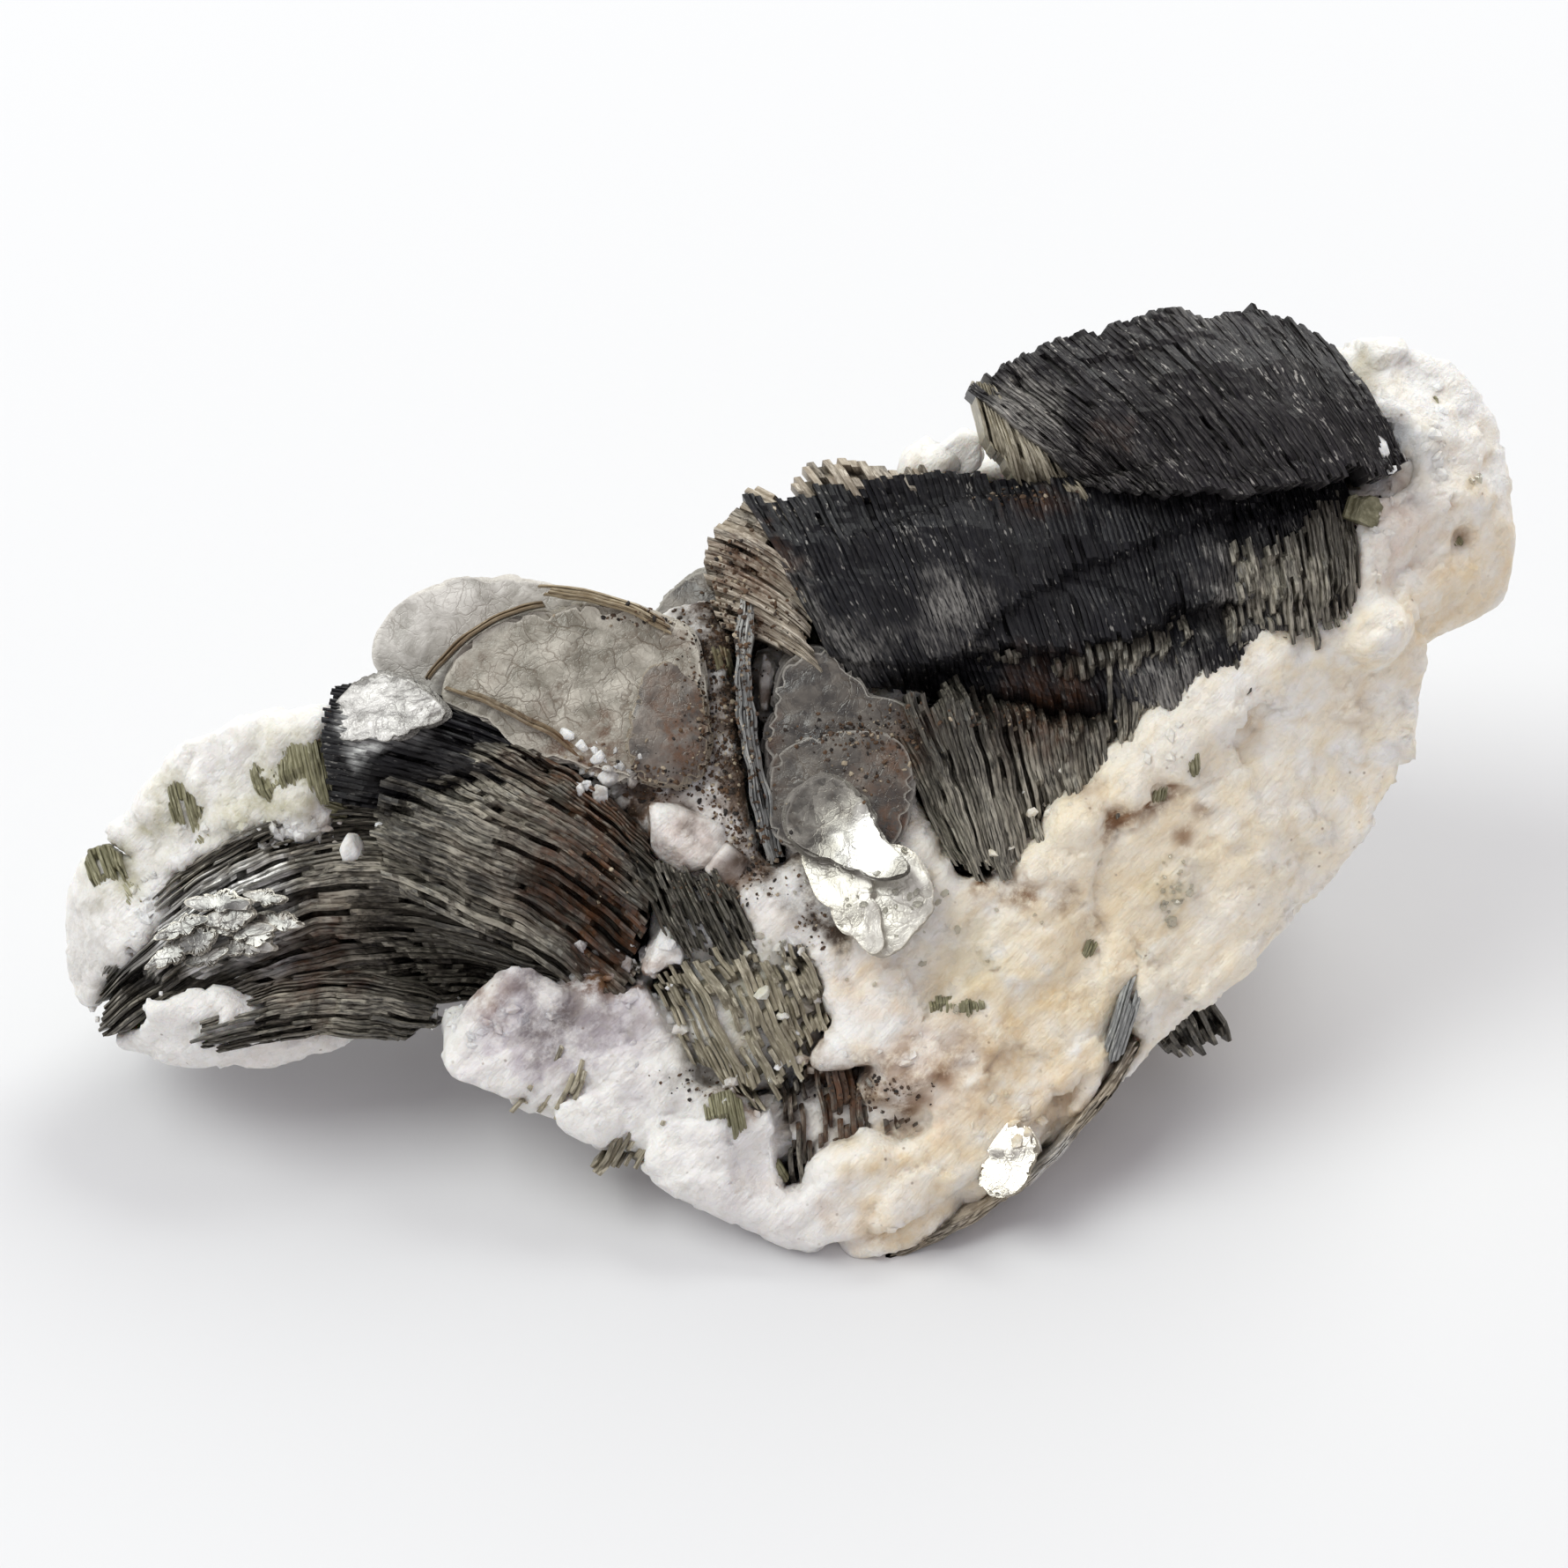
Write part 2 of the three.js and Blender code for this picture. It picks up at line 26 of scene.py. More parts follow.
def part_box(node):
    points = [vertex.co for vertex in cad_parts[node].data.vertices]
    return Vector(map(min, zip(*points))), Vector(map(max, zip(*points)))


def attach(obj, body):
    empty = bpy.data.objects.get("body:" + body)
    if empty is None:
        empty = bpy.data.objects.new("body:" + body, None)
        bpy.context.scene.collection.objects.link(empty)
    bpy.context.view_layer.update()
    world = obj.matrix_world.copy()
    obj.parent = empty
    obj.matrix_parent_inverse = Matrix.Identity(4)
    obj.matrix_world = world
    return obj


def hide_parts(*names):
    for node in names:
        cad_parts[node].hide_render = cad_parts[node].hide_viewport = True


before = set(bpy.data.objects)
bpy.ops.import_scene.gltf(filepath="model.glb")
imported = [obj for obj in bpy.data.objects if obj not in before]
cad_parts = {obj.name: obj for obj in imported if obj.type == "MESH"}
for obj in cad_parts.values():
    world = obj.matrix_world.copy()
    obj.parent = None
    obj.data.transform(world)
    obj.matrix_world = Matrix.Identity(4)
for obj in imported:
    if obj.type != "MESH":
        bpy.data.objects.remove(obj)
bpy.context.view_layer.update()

log = logging.getLogger("specimen")

MM = 0.001
FACE_SLOPE_DEG = 48.0
FACE_HEIGHT = 18.0
ON_FACE = (
    Matrix.Scale(MM, 4)
    @ Matrix.Translation((0.0, 0.0, FACE_HEIGHT))
    @ Matrix.Rotation(math.radians(FACE_SLOPE_DEG), 4, "X")
)
OFF_FACE = ON_FACE.inverted()


# --- small helpers --------------------------------------------------------------------------------


def srgb(red: int, green: int, blue: int) -> tuple[float, float, float, float]:
    """Turns a screen colour into the linear colour that a shader takes.

    Args:
        red: Red, from 0 to 255.
        green: Green, from 0 to 255.
        blue: Blue, from 0 to 255.

    Returns:
        The linear colour with an alpha of one.
    """
    linear = [c / 255 / 12.92 if c < 11 else ((c / 255 + 0.055) / 1.055) ** 2.4 for c in (red, green, blue)]
    return (linear[0], linear[1], linear[2], 1.0)


def mix(low: float, high: float, share: float) -> float:
    """Returns the value that lies at a share of the way from low to high."""
    return low + (high - low) * share


def smoothstep(low: float, high: float, value: float) -> float:
    """Returns 0 below low, 1 above high and a smooth rise between them."""
    t = min(max((value - low) / (high - low), 0.0), 1.0)
    return t * t * (3 - 2 * t)


def along_list(values: Sequence[float], share: float) -> float:
    """Reads a list of values as a line of straight pieces.

    Args:
        values: The values at equal steps.
        share: The place on the line, from 0 to 1.

    Returns:
        The value there.
    """
    at = min(max(share, 0.0), 1.0) * (len(values) - 1)
    i = min(int(at), len(values) - 2)
    return mix(values[i], values[i + 1], at - i)


def noise_over(points: np.ndarray, size: float, start: float) -> np.ndarray:
    """Samples smooth noise at many points.

    Args:
        points: Points in millimetres, one a row.
        size: Size of the noise's lumps in millimetres.
        start: An offset that gives each use its own noise.

    Returns:
        One value from about -1 to 1 for each point.
    """
    placed = points / size + start
    return np.array([noise.noise(p) for p in placed.tolist()])


def cells_over(points: np.ndarray, size: float, start: float) -> tuple[np.ndarray, np.ndarray]:
    """Samples a pattern of rounded grains at many points.

    Args:
        points: Points in millimetres, one a row.
        size: Size of a grain in millimetres.
        start: An offset that gives each use its own pattern.

    Returns:
        The distances to the nearest and to the second nearest grain, in grain sizes.
    """
    placed = points / size + start
    found = [noise.voronoi(p)[0] for p in placed.tolist()]
    nearest = np.array([d[0] for d in found])
    second = np.array([d[1] for d in found])
    return nearest, second


def blocks_over(points: np.ndarray, size: float, start: float) -> np.ndarray:
    """Samples a pattern of broken blocks, each with its own height and tilt.

    Args:
        points: Points in millimetres, one a row.
        size: Size of a block in millimetres.
        start: An offset that gives each use its own pattern.

    Returns:
        One height from about -1 to 1 for each point.
    """
    placed = points / size + start
    heights = []
    for p in placed.tolist():
        centre = noise.voronoi(p)[1][0]
        tilt = noise.noise_vector(centre * 3.7)
        heights.append(noise.noise(centre * 7.3) * 1.4 + 1.2 * tilt.dot(Vector(p) - centre))
    return np.array(heights)


def face_points(mesh: bpy.types.Mesh) -> np.ndarray:
    """Reads a mesh's points in the frame of the broken face.

    Args:
        mesh: A mesh in metres over the table.

    Returns:
        Its points in millimetres, one a row.
    """
    flat = np.zeros(len(mesh.vertices) * 3)
    mesh.vertices.foreach_get("co", flat)
    points = flat.reshape(-1, 3)
    turn = np.array(OFF_FACE)
    return points @ turn[:3, :3].T + turn[:3, 3]


def keep_values(mesh: bpy.types.Mesh, name: str, values: np.ndarray) -> None:
    """Stores one number for each point of a mesh.

    Args:
        mesh: The mesh.
        name: The attribute's name.
        values: One number for each point.
    """
    kept = mesh.attributes.get(name) or mesh.attributes.new(name, "FLOAT", "POINT")
    kept.data.foreach_set("value", values.astype(np.float32))


def mark_sharp(mesh: bpy.types.Mesh, angle_deg: float) -> None:
    """Keeps a smooth mesh's edges crisp where it bends more than an angle.

    Args:
        mesh: The mesh.
        angle_deg: The angle in degrees.
    """
    mesh.set_sharp_from_angle(angle=math.radians(angle_deg))


def new_piece(name: str, bm: bmesh.types.BMesh) -> bpy.types.Object:
    """Turns a bmesh into a piece of the scene.

    Args:
        name: The piece's name.
        bm: The shape in metres over the table. It is freed.

    Returns:
        The new object, which rides on the specimen.
    """
    mesh = bpy.data.meshes.new(name)
    bm.to_mesh(mesh)
    bm.free()
    piece = bpy.data.objects.new(name, mesh)
    bpy.context.scene.collection.objects.link(piece)
    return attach(piece, "root")


def report(piece: bpy.types.Object) -> None:
    """Logs a finished piece's name and size."""
    piece.data.calc_loop_triangles()
    log.info("%s: %d triangles", piece.name, len(piece.data.loop_triangles))


# --- tints ----------------------------------------------------------------------------------------


class Tint(Enum):
    """A tint that a patch of the specimen takes, by the name of its mesh attribute."""

    RUST = "rust"
    PALE = "pale"
    # Silvery sheets, partly painted highlight: sheet edges are blended toward pale silver and some plates toward
    # near-white where it lies.
    SILVER_AND_HIGHLIGHT = "silver"
    YELLOW = "yellow"
    PINK = "pink"
    # Lilac rock on the lower-left facet that faces down, darker than the white, partly painted shade.
    LILAC_AND_SHADE = "lilac"
    BROWN = "brown"
    CREAM = "cream"
    OLIVE = "olive"
    # Dirt stains, and also painted shade on the down-facing lower-left facet and on the left tip.
    DIRT_AND_SHADE = "dirt_and_shade"
    # Painted shade along the creases where the mica falls back.
    DARK = "dark"


@dataclass(frozen=True)
class Spot:
    """A round patch of a tint: its middle and reach in face millimetres, and its strength."""

    x: float
    y: float
    reach: float
    strength: float = 1.0
    z: float = 8.0


SPOTS: dict[Tint, tuple[Spot, ...]] = {
    Tint.RUST: (
        # With the spot at (7.2, -2.8), darkens the hollow right of the disc highlight to dark brown.
        Spot(7.4, -2.6, 1.6, 1.0, 9.6),
        Spot(6.6, 1.2, 2.6, 0.7, 9.8),
        Spot(-2.6, 14.4, 3.6, 0.9),
        Spot(-7.0, 5.2, 3.8, 0.8),
        Spot(-6.6, 1.6, 3.0, 0.8),
        Spot(-3.6, 8.6, 3.4),
        Spot(-1.8, 12.0, 3.4, 0.4),
        Spot(-3.4, 4.0, 3.4),
        Spot(-3.0, -0.5, 3.2, 0.9),
        Spot(-1.6, -5.5, 3.0, 0.9),
        Spot(-14.6, 1.6, 4.5, 0.7),
        Spot(-11.4, -2.4, 4.2, 0.8),
        Spot(-16.0, -5.0, 6.5, 0.4),
        Spot(-32.5, -11.3, 5.5, 0.7, 6.0),
        Spot(-12.0, -12.5, 3.5, 0.6),
        Spot(16.5, 18.8, 2.6, 0.8, 11.0),
        Spot(17.0, 4.6, 4.5, 0.6, 10.0),
        Spot(8.6, 3.4, 3.2, 0.6),
        Spot(4.6, -20.5, 4.5, 0.7),
        Spot(8.6, -20.6, 2.8, 0.9),
        Spot(3.2, -22.6, 4.0, 0.9),
        # Darkens the hollow right of the disc highlight to dark brown.
        Spot(7.2, -2.8, 1.6, 1.0, 10.0),
        Spot(-13.2, -6.4, 4.4, 0.9),
        Spot(-10.8, -9.6, 3.4, 0.9),
        Spot(-12.6, 0.8, 3.6, 0.8),
        Spot(-8.0, 11.2, 3.5, 0.8, 6.0),
        Spot(-20.5, 8.6, 2.6, 0.5, 6.0),
        Spot(20.5, 21.5, 2.6, 0.6, 13.0),
    ),
    Tint.PALE: (
        Spot(15.6, 24.0, 4.0, 1.0, 10.0),
        Spot(20.6, 20.4, 3.4, 0.5, 12.0),
        Spot(27.0, 31.0, 3.0, 0.25, 11.0),
        Spot(10.9, 11.4, 3.4, 0.8, 11.0),
        Spot(31.0, 12.6, 4.4, 0.85, 10.0),
        Spot(35.0, 12.4, 3.6, 0.85, 9.0),
        Spot(5.0, 8.8, 3.0, 0.6, 9.0),
        Spot(11.0, -4.6, 6.5, 1.0, 10.0),
        Spot(17.0, -1.0, 6.0, 0.8, 10.0),
        Spot(26.0, 4.6, 5.0, 0.9, 10.0),
        Spot(-0.8, 11.2, 4.0, 1.0, 9.0),
        Spot(-26.0, -6.2, 2.8, 1.0, 8.6),
        Spot(-23.0, -7.6, 3.0, 1.0, 9.0),
        Spot(-19.8, -9.2, 3.0, 1.0, 9.0),
        Spot(-17.0, -11.4, 2.6, 0.7, 8.6),
        Spot(-38.0, -8.6, 8.0, 0.8, 6.0),
        Spot(-30.0, -13.6, 6.0, 0.7, 5.0),
        Spot(-19.0, -2.0, 6.0, 0.5, 10.0),
        Spot(-29.0, -5.6, 5.0, 0.5, 6.0),
    ),
    # Silvery patches that also stand for painted highlights: the left crumpled sheets, the rim, the disc of the silver
    # book and the left top facet.
    Tint.SILVER_AND_HIGHLIGHT: (
        Spot(-39.2, -9.6, 4.2, 1.0, 6.0),
        Spot(-35.4, -8.0, 3.8, 1.0, 7.0),
        Spot(-43.6, -11.4, 3.0, 0.5, 4.0),
        Spot(-37.0, -9.4, 5.4, 0.8, 7.5),
        Spot(17.5, -25.5, 3.4, 1.0),
        Spot(6.0, -3.9, 2.8, 1.0, 11.8),
        Spot(-27.4, 4.6, 3.4, 0.8, 9.8),
    ),
    # Painted shade: these spots lie on the creases of the broken face and darken the sheet edges there.
    Tint.DARK: (
        Spot(-24.4, -9.8, 3.0, 1.0, 8.0),
        Spot(-21.6, -11.6, 3.0, 1.0, 8.0),
        Spot(-18.8, -13.2, 2.8, 1.0, 8.0),
        Spot(-12.4, -8.4, 3.6, 1.0, 8.6),
        Spot(-10.4, -9.8, 2.8, 0.9, 8.0),
        Spot(-15.4, -7.0, 2.6, 0.7, 9.0),
        Spot(-31.0, -11.2, 3.6, 0.9, 7.0),
        Spot(-27.4, -12.0, 3.0, 0.9, 7.0),
        Spot(-35.0, -12.2, 2.6, 0.6, 6.4),
        Spot(-27.6, 0.6, 3.6, 0.9, 8.6),
        Spot(-24.4, 1.4, 3.0, 0.6, 9.0),
        Spot(14.0, 4.4, 4.6, 0.6, 9.0),
        Spot(19.0, 5.6, 3.6, 0.6, 9.0),
    ),
    Tint.YELLOW: (
        Spot(45.5, 15.0, 6.5, 0.9, 3.0),
        Spot(44.5, 21.5, 4.5, 0.5, 4.0),
        Spot(41.0, 10.0, 5.0, 0.5, 5.0),
        Spot(7.0, -28.0, 5.5, 0.9),
        Spot(15.6, -17.6, 6.5, 0.8),
        Spot(11.6, -22.0, 5.5, 0.6),
        Spot(20.0, -9.0, 6.0, 0.5),
        Spot(27.0, -4.0, 6.0, 0.4),
        Spot(39.5, 25.6, 3.5, 0.5, 5.0),
        Spot(12.0, -14.0, 4.0, 0.4),
    ),
    Tint.PINK: (
        Spot(40.0, 17.4, 5.0, 0.9, 6.0),
        Spot(37.6, 13.0, 4.0, 0.5, 6.0),
        Spot(-6.0, -4.0, 4.5, 0.8),
        Spot(4.5, -13.6, 5.5, 0.4),
        Spot(9.0, -18.6, 6.0, 0.7),
        Spot(18.0, -22.0, 4.5, 0.4),
        Spot(-1.0, -9.6, 3.5, 0.5),
        Spot(-34.0, -16.5, 5.0, 0.3, 5.0),
    ),
    # The lower-left facet and the bottom tip, which face down: lilac colour, partly painted shade.
    Tint.LILAC_AND_SHADE: (
        Spot(-15.5, -15.0, 6.0, 1.0),
        Spot(-11.0, -16.0, 5.5, 1.0),
        Spot(-18.0, -16.4, 4.0, 1.0),
        Spot(-3.0, -26.0, 6.0, 0.4),
        Spot(3.0, -28.0, 4.0, 0.4),
    ),
    Tint.BROWN: (
        Spot(20.7, -2.8, 2.0, 1.0, 9.0),
        Spot(22.5, -1.9, 1.9, 1.0, 9.0),
        Spot(24.4, -0.8, 1.8, 1.0, 9.0),
        Spot(27.6, -1.6, 1.0, 0.9, 9.0),
        Spot(26.2, -3.4, 0.9, 0.8, 9.0),
        Spot(43.0, 26.6, 1.2, 0.8, 7.6),
        Spot(45.2, 16.4, 1.1, 0.8, 5.6),
        Spot(26.0, 0.6, 1.4, 0.6, 9.0),
        Spot(13.2, -6.6, 1.8, 0.7, 9.0),
        Spot(15.8, -7.0, 1.9, 0.9, 9.0),
        Spot(18.2, -7.4, 1.6, 0.6, 9.0),
        Spot(20.6, -8.8, 1.3, 0.6, 9.0),
        Spot(2.4, -18.6, 3.0, 0.7, 9.0),
        Spot(7.6, -19.6, 3.4, 0.9, 9.0),
        Spot(12.0, -18.2, 3.0, 0.5, 9.0),
        Spot(-19.4, -14.4, 2.4, 0.7, 8.0),
        Spot(-13.0, -13.2, 2.4, 0.8, 8.0),
        Spot(-8.6, -12.0, 2.2, 0.8, 8.0),
        Spot(-3.0, -20.6, 2.4, 0.8, 8.5),
        Spot(-3.4, -6.6, 2.0, 1.0, 8.5),
        Spot(-8.8, -6.0, 1.6, 0.9, 8.5),
        Spot(13.0, -5.4, 1.6, 0.6, 9.0),
        Spot(20.0, -0.6, 1.5, 0.5, 9.4),
        Spot(8.9, -9.2, 0.8, 1.0, 9.5),
        Spot(-30.0, -2.2, 2.0, 0.6, 6.0),
        Spot(30.0, 4.4, 2.0, 0.4, 9.0),
        Spot(-3.6, 10.0, 3.6, 1.0, 6.0),
        Spot(-3.4, 5.0, 3.6, 1.0, 7.0),
        Spot(-3.0, 0.0, 3.2, 1.0, 7.0),
        Spot(-1.6, -5.4, 2.6, 0.9, 7.0),
        Spot(-9.0, -1.0, 3.0, 0.8, 6.0),
        Spot(-12.0, -13.4, 2.6, 0.7, 7.0),
        Spot(-8.6, -1.6, 2.2, 0.9, 7.0),
        Spot(39.6, 18.6, 3.2, 0.35, 6.0),
        Spot(37.4, 5.6, 2.6, 0.3, 7.0),
        Spot(30.0, 8.4, 2.4, 0.3, 9.0),
    ),
    Tint.OLIVE: (
        Spot(-33.0, 0.6, 4.6, 0.9, 6.0),
        Spot(-36.5, -2.4, 3.2, 0.7, 6.0),
        Spot(-41.0, -1.6, 3.4, 0.8, 5.0),
        Spot(-44.8, -6.0, 3.2, 0.8, 4.0),
        Spot(-1.6, -12.6, 4.0, 0.8, 9.0),
        Spot(-5.0, -17.0, 5.0, 0.4, 9.0),
        Spot(12.0, -12.0, 4.0, 0.3, 9.0),
        Spot(24.4, 9.6, 3.0, 0.5, 9.0),
        Spot(38.0, 27.4, 3.4, 0.5, 7.0),
        Spot(26.0, -6.8, 2.6, 0.5, 8.0),
    ),
    Tint.DIRT_AND_SHADE: (
        Spot(-5.4, 11.8, 3.8, 1.0, 4.5),
        Spot(-5.6, 8.0, 3.8, 1.0, 5.0),
        Spot(-7.6, 1.8, 3.6, 0.9, 5.0),
        # These spots darken the hollows left of and below the silver tongue.
        Spot(2.4, -6.6, 2.6, 1.0, 8.0),
        Spot(3.6, -8.8, 2.2, 1.0, 8.0),
        Spot(4.4, -10.8, 1.5, 0.7, 8.5),
        # Painted shade on the lower-left facet that faces down.
        Spot(-14.6, -14.8, 4.8, 0.75, 8.0),
        Spot(1.8, -7.6, 2.4, 0.8, 9.4),
        Spot(3.6, -9.2, 1.8, 0.9, 9.6),
        # Painted shade on the left tip, with the faint spot at (-47.0, -13.4).
        Spot(-46.8, -11.0, 4.4, 0.3, 3.0),
        Spot(3.4, -22.6, 4.0, 1.0, 4.6),
        Spot(7.6, -21.8, 3.2, 1.0, 4.8),
        Spot(0.6, -22.6, 3.0, 0.8, 4.6),
        # Painted shade on the left tip.
        Spot(-47.0, -13.4, 3.6, 0.12, 4.0),
        Spot(-3.6, 10.4, 4.4, 1.0, 6.0),
        Spot(-3.6, 5.0, 4.6, 1.0, 7.0),
        Spot(-3.2, 0.0, 4.2, 1.0, 7.0),
        Spot(-2.2, -5.0, 3.4, 0.9, 8.0),
        Spot(-9.6, 0.0, 4.6, 1.0, 6.0),
        Spot(-8.4, 4.6, 4.0, 0.8, 6.0),
        Spot(-12.6, -3.0, 3.6, 0.6, 6.0),
        Spot(2.6, -9.0, 2.4, 0.8, 8.0),
        Spot(0.8, -7.0, 2.4, 0.8, 8.0),
        Spot(-5.6, -19.4, 3.0, 0.7, 8.0),
        Spot(3.0, -20.0, 4.0, 0.8, 8.0),
        Spot(7.0, -19.6, 3.0, 0.6, 8.0),
        Spot(7.6, 3.2, 3.6, 0.9, 7.0),
        Spot(-10.4, -11.0, 2.6, 0.5, 7.0),
    ),
    Tint.CREAM: (
        Spot(24.0, -6.0, 24.0, 1.0, 7.0),
        Spot(12.0, -22.0, 14.0, 0.8, 7.0),
        Spot(42.0, 12.0, 14.0, 0.8, 3.0),
        Spot(20.0, 4.0, 30.0, 0.5, -14.0),
    ),
}
ROCK_TINTS = (Tint.YELLOW, Tint.PINK, Tint.LILAC_AND_SHADE, Tint.BROWN, Tint.CREAM, Tint.OLIVE, Tint.DIRT_AND_SHADE)
MICA_TINTS = (Tint.RUST, Tint.PALE, Tint.SILVER_AND_HIGHLIGHT, Tint.DARK)
TINT_WOBBLE = 0.45  # how far noise moves a patch's edge, as a share of its reach


def tint(mesh: bpy.types.Mesh, tints: Iterable[Tint]) -> None:
    """Stores how strongly each point of a mesh takes each tint.

    Args:
        mesh: The mesh, in metres over the table.
        tints: The tints to store.
    """
    points = face_points(mesh)
    wobble = TINT_WOBBLE * (noise_over(points, 1.7, 11.3) + 0.5 * noise_over(points, 0.7, 3.1))
    for kind in tints:
        total = np.zeros(len(points))
        for spot in SPOTS[kind]:
            away = np.linalg.norm(points - np.array((spot.x, spot.y, spot.z)), axis=1) / spot.reach
            total += spot.strength * np.clip(1.25 * (1 - away - wobble), 0, 1)
        keep_values(mesh, kind.value, np.clip(total, 0, 1))


# --- shader tools ---------------------------------------------------------------------------------


class Sketch:
    """A node tree under construction."""

    def __init__(self, tree: bpy.types.NodeTree) -> None:
        """Starts on a node tree.

        Args:
            tree: The tree, which is emptied.
        """
        self.tree = tree
        tree.nodes.clear()

    def add(self, kind: str, inputs: dict[str | int, object] | None = None, **settings: object) -> bpy.types.Node:
        """Adds a node.

        Args:
            kind: The node's type, without its ShaderNode prefix.
            inputs: A value or a linked socket for each named or numbered input.
            **settings: The node's own properties.

        Returns:
            The new node.
        """
        prefix = "" if kind.startswith("Node") else "ShaderNode"
        node = self.tree.nodes.new(prefix + kind)
        for name, value in settings.items():
            setattr(node, name, value)
        for name, value in (inputs or {}).items():
            socket = node.inputs[name]
            if isinstance(value, bpy.types.NodeSocket):
                self.tree.links.new(value, socket)
            else:
                socket.default_value = value
        return node

    def math(self, operation: str, first: object, second: object = 0.0, clamp: bool = False) -> bpy.types.NodeSocket:
        """Adds a Math node.

        Args:
            operation: What it does.
            first: Its first value or socket.
            second: Its second value or socket.
            clamp: Whether the result stays between 0 and 1.

        Returns:
            Its result.
        """
        node = self.add("Math", {0: first, 1: second}, operation=operation, use_clamp=clamp)
        return node.outputs[0]

    def blend(self, share: object, low: object, high: object, kind: str = "MIX") -> bpy.types.NodeSocket:
        """Adds a colour Mix node.

        Args:
            share: How much of the high colour shows.
            low: The colour at a share of 0.
            high: The colour at a share of 1.
            kind: How the two blend.

        Returns:
            The blended colour.
        """
        node = self.add("Mix", {0: share, 6: low, 7: high}, data_type="RGBA", blend_type=kind)
        return node.outputs[2]

    def range(self, value: object, low: float, high: float, out_low: float = 0.0, out_high: float = 1.0) -> bpy.types.NodeSocket:
        """Adds a clamped Map Range node.

        Args:
            value: The value or socket to map.
            low: The value that gives out_low.
            high: The value that gives out_high.
            out_low: The lowest result.
            out_high: The highest result.

        Returns:
            The mapped value.
        """
        node = self.add("MapRange", {0: value, 1: low, 2: high, 3: out_low, 4: out_high}, clamp=True)
        return node.outputs[0]

    def attribute(self, name: str, vector: bool = False) -> bpy.types.NodeSocket:
        """Adds an Attribute node.

        Args:
            name: The mesh attribute's name.
            vector: Whether it is read as a vector.

        Returns:
            The attribute's value.
        """
        node = self.add("Attribute", attribute_name=name)
        return node.outputs["Vector" if vector else "Fac"]

    def noise(self, vector: object, scale: float, detail: float = 4.0, roughness: float = 0.6) -> bpy.types.NodeSocket:
        """Adds a Noise node.

        Args:
            vector: The place it is read at.
            scale: Lumps for each unit of length.
            detail: Number of finer layers.
            roughness: Strength of the finer layers.

        Returns:
            Its value.
        """
        inputs = {"Vector": vector, "Scale": scale, "Detail": detail, "Roughness": roughness}
        return self.add("TexNoise", inputs).outputs["Fac"]

    def scaled(self, vector: object, scale: tuple[float, float, float], shift: float = 0.0) -> bpy.types.NodeSocket:
        """Adds a Mapping node that stretches a place.

        Args:
            vector: The place.
            scale: The scale along each axis.
            shift: How far the pattern is moved along every axis.

        Returns:
            The stretched place.
        """
        inputs = {"Vector": vector, "Scale": scale, "Location": (shift, shift, shift)}
        return self.add("Mapping", inputs).outputs["Vector"]


def in_millimetres(sketch: Sketch) -> bpy.types.NodeSocket:
    """Returns the Object coordinates of a sketch, in millimetres."""
    place = sketch.add("TexCoord").outputs["Object"]
    return sketch.scaled(place, (1 / MM, 1 / MM, 1 / MM))


def new_group(name: str, inputs: Sequence[tuple[str, str]], outputs: Sequence[tuple[str, str]]) -> tuple[Sketch, bpy.types.Node, bpy.types.Node]:
    """Starts a shader node group.

    Args:
        name: The group's name.
        inputs: Name and socket type of each input.
        outputs: Name and socket type of each output.

    Returns:
        The sketch of its tree, its input node and its output node.
    """
    group = bpy.data.node_groups.new(name, "ShaderNodeTree")
    for socket, kind in inputs:
        group.interface.new_socket(socket, in_out="INPUT", socket_type=kind)
    for socket, kind in outputs:
        group.interface.new_socket(socket, in_out="OUTPUT", socket_type=kind)
    sketch = Sketch(group)
    return sketch, sketch.add("NodeGroupInput"), sketch.add("NodeGroupOutput")


def streaks_group() -> bpy.types.NodeTree:
    """Builds the group of light flecks and fine lines that run along mica sheets. The flecks stand for pale broken
    sheet ends and also paint glints.

    Returns:
        A group that takes a place on the sheets, in millimetres, and how pale they are. It gives a mask
        of flecks, a mask of short scratches, a mask of fine lines and a height.
    """
    place = [("Place", "NodeSocketVector"), ("Paleness", "NodeSocketFloat")]
    given = [("Flecks", "NodeSocketFloat"), ("Scratches", "NodeSocketFloat"), ("Lines", "NodeSocketFloat"), ("Height", "NodeSocketFloat")]
    sketch, start, end = new_group("sheet_streaks", place, given)
    where = start.outputs["Place"]
    coarse = sketch.noise(sketch.scaled(where, (0.55, 1.9, 0.8)), 1.0, 5.0, 0.68)
    fine = sketch.noise(sketch.scaled(where, (1.3, 7.5, 2.0), 9.0), 1.0, 3.0, 0.6)
    together = sketch.math("ADD", sketch.math("MULTIPLY", coarse, 0.62), sketch.math("MULTIPLY", fine, 0.38))
    level = sketch.math("MULTIPLY_ADD", start.outputs["Paleness"], -0.17)
    level.node.inputs[2].default_value = 0.6
    flecks = sketch.math("MULTIPLY", sketch.math("SUBTRACT", together, level), 9.0, clamp=True)
    thick = sketch.range(sketch.noise(sketch.scaled(where, (0.24, 0.5, 0.4), 53.0), 1.0, 3.0, 0.6), 0.36, 0.6, 0.25, 1.0)
    sketch.tree.links.new(sketch.math("MULTIPLY", flecks, thick), end.inputs["Flecks"])
    short = sketch.noise(sketch.scaled(where, (1.5, 5.0, 1.6), 31.0), 1.0, 2.0, 0.5)
    patches = sketch.noise(sketch.scaled(where, (0.3, 0.3, 0.3), 17.0), 1.0, 3.0, 0.6)
    bar = sketch.math("MULTIPLY_ADD", patches, -0.5)
    bar.node.inputs[2].default_value = 0.92
    scratches = sketch.math("MULTIPLY", sketch.math("SUBTRACT", short, bar), 14.0, clamp=True)
    sketch.tree.links.new(scratches, end.inputs["Scratches"])
    sketch.tree.links.new(sketch.range(fine, 0.35, 0.65), end.inputs["Lines"])
    sketch.tree.links.new(together, end.inputs["Height"])
    return sketch.tree


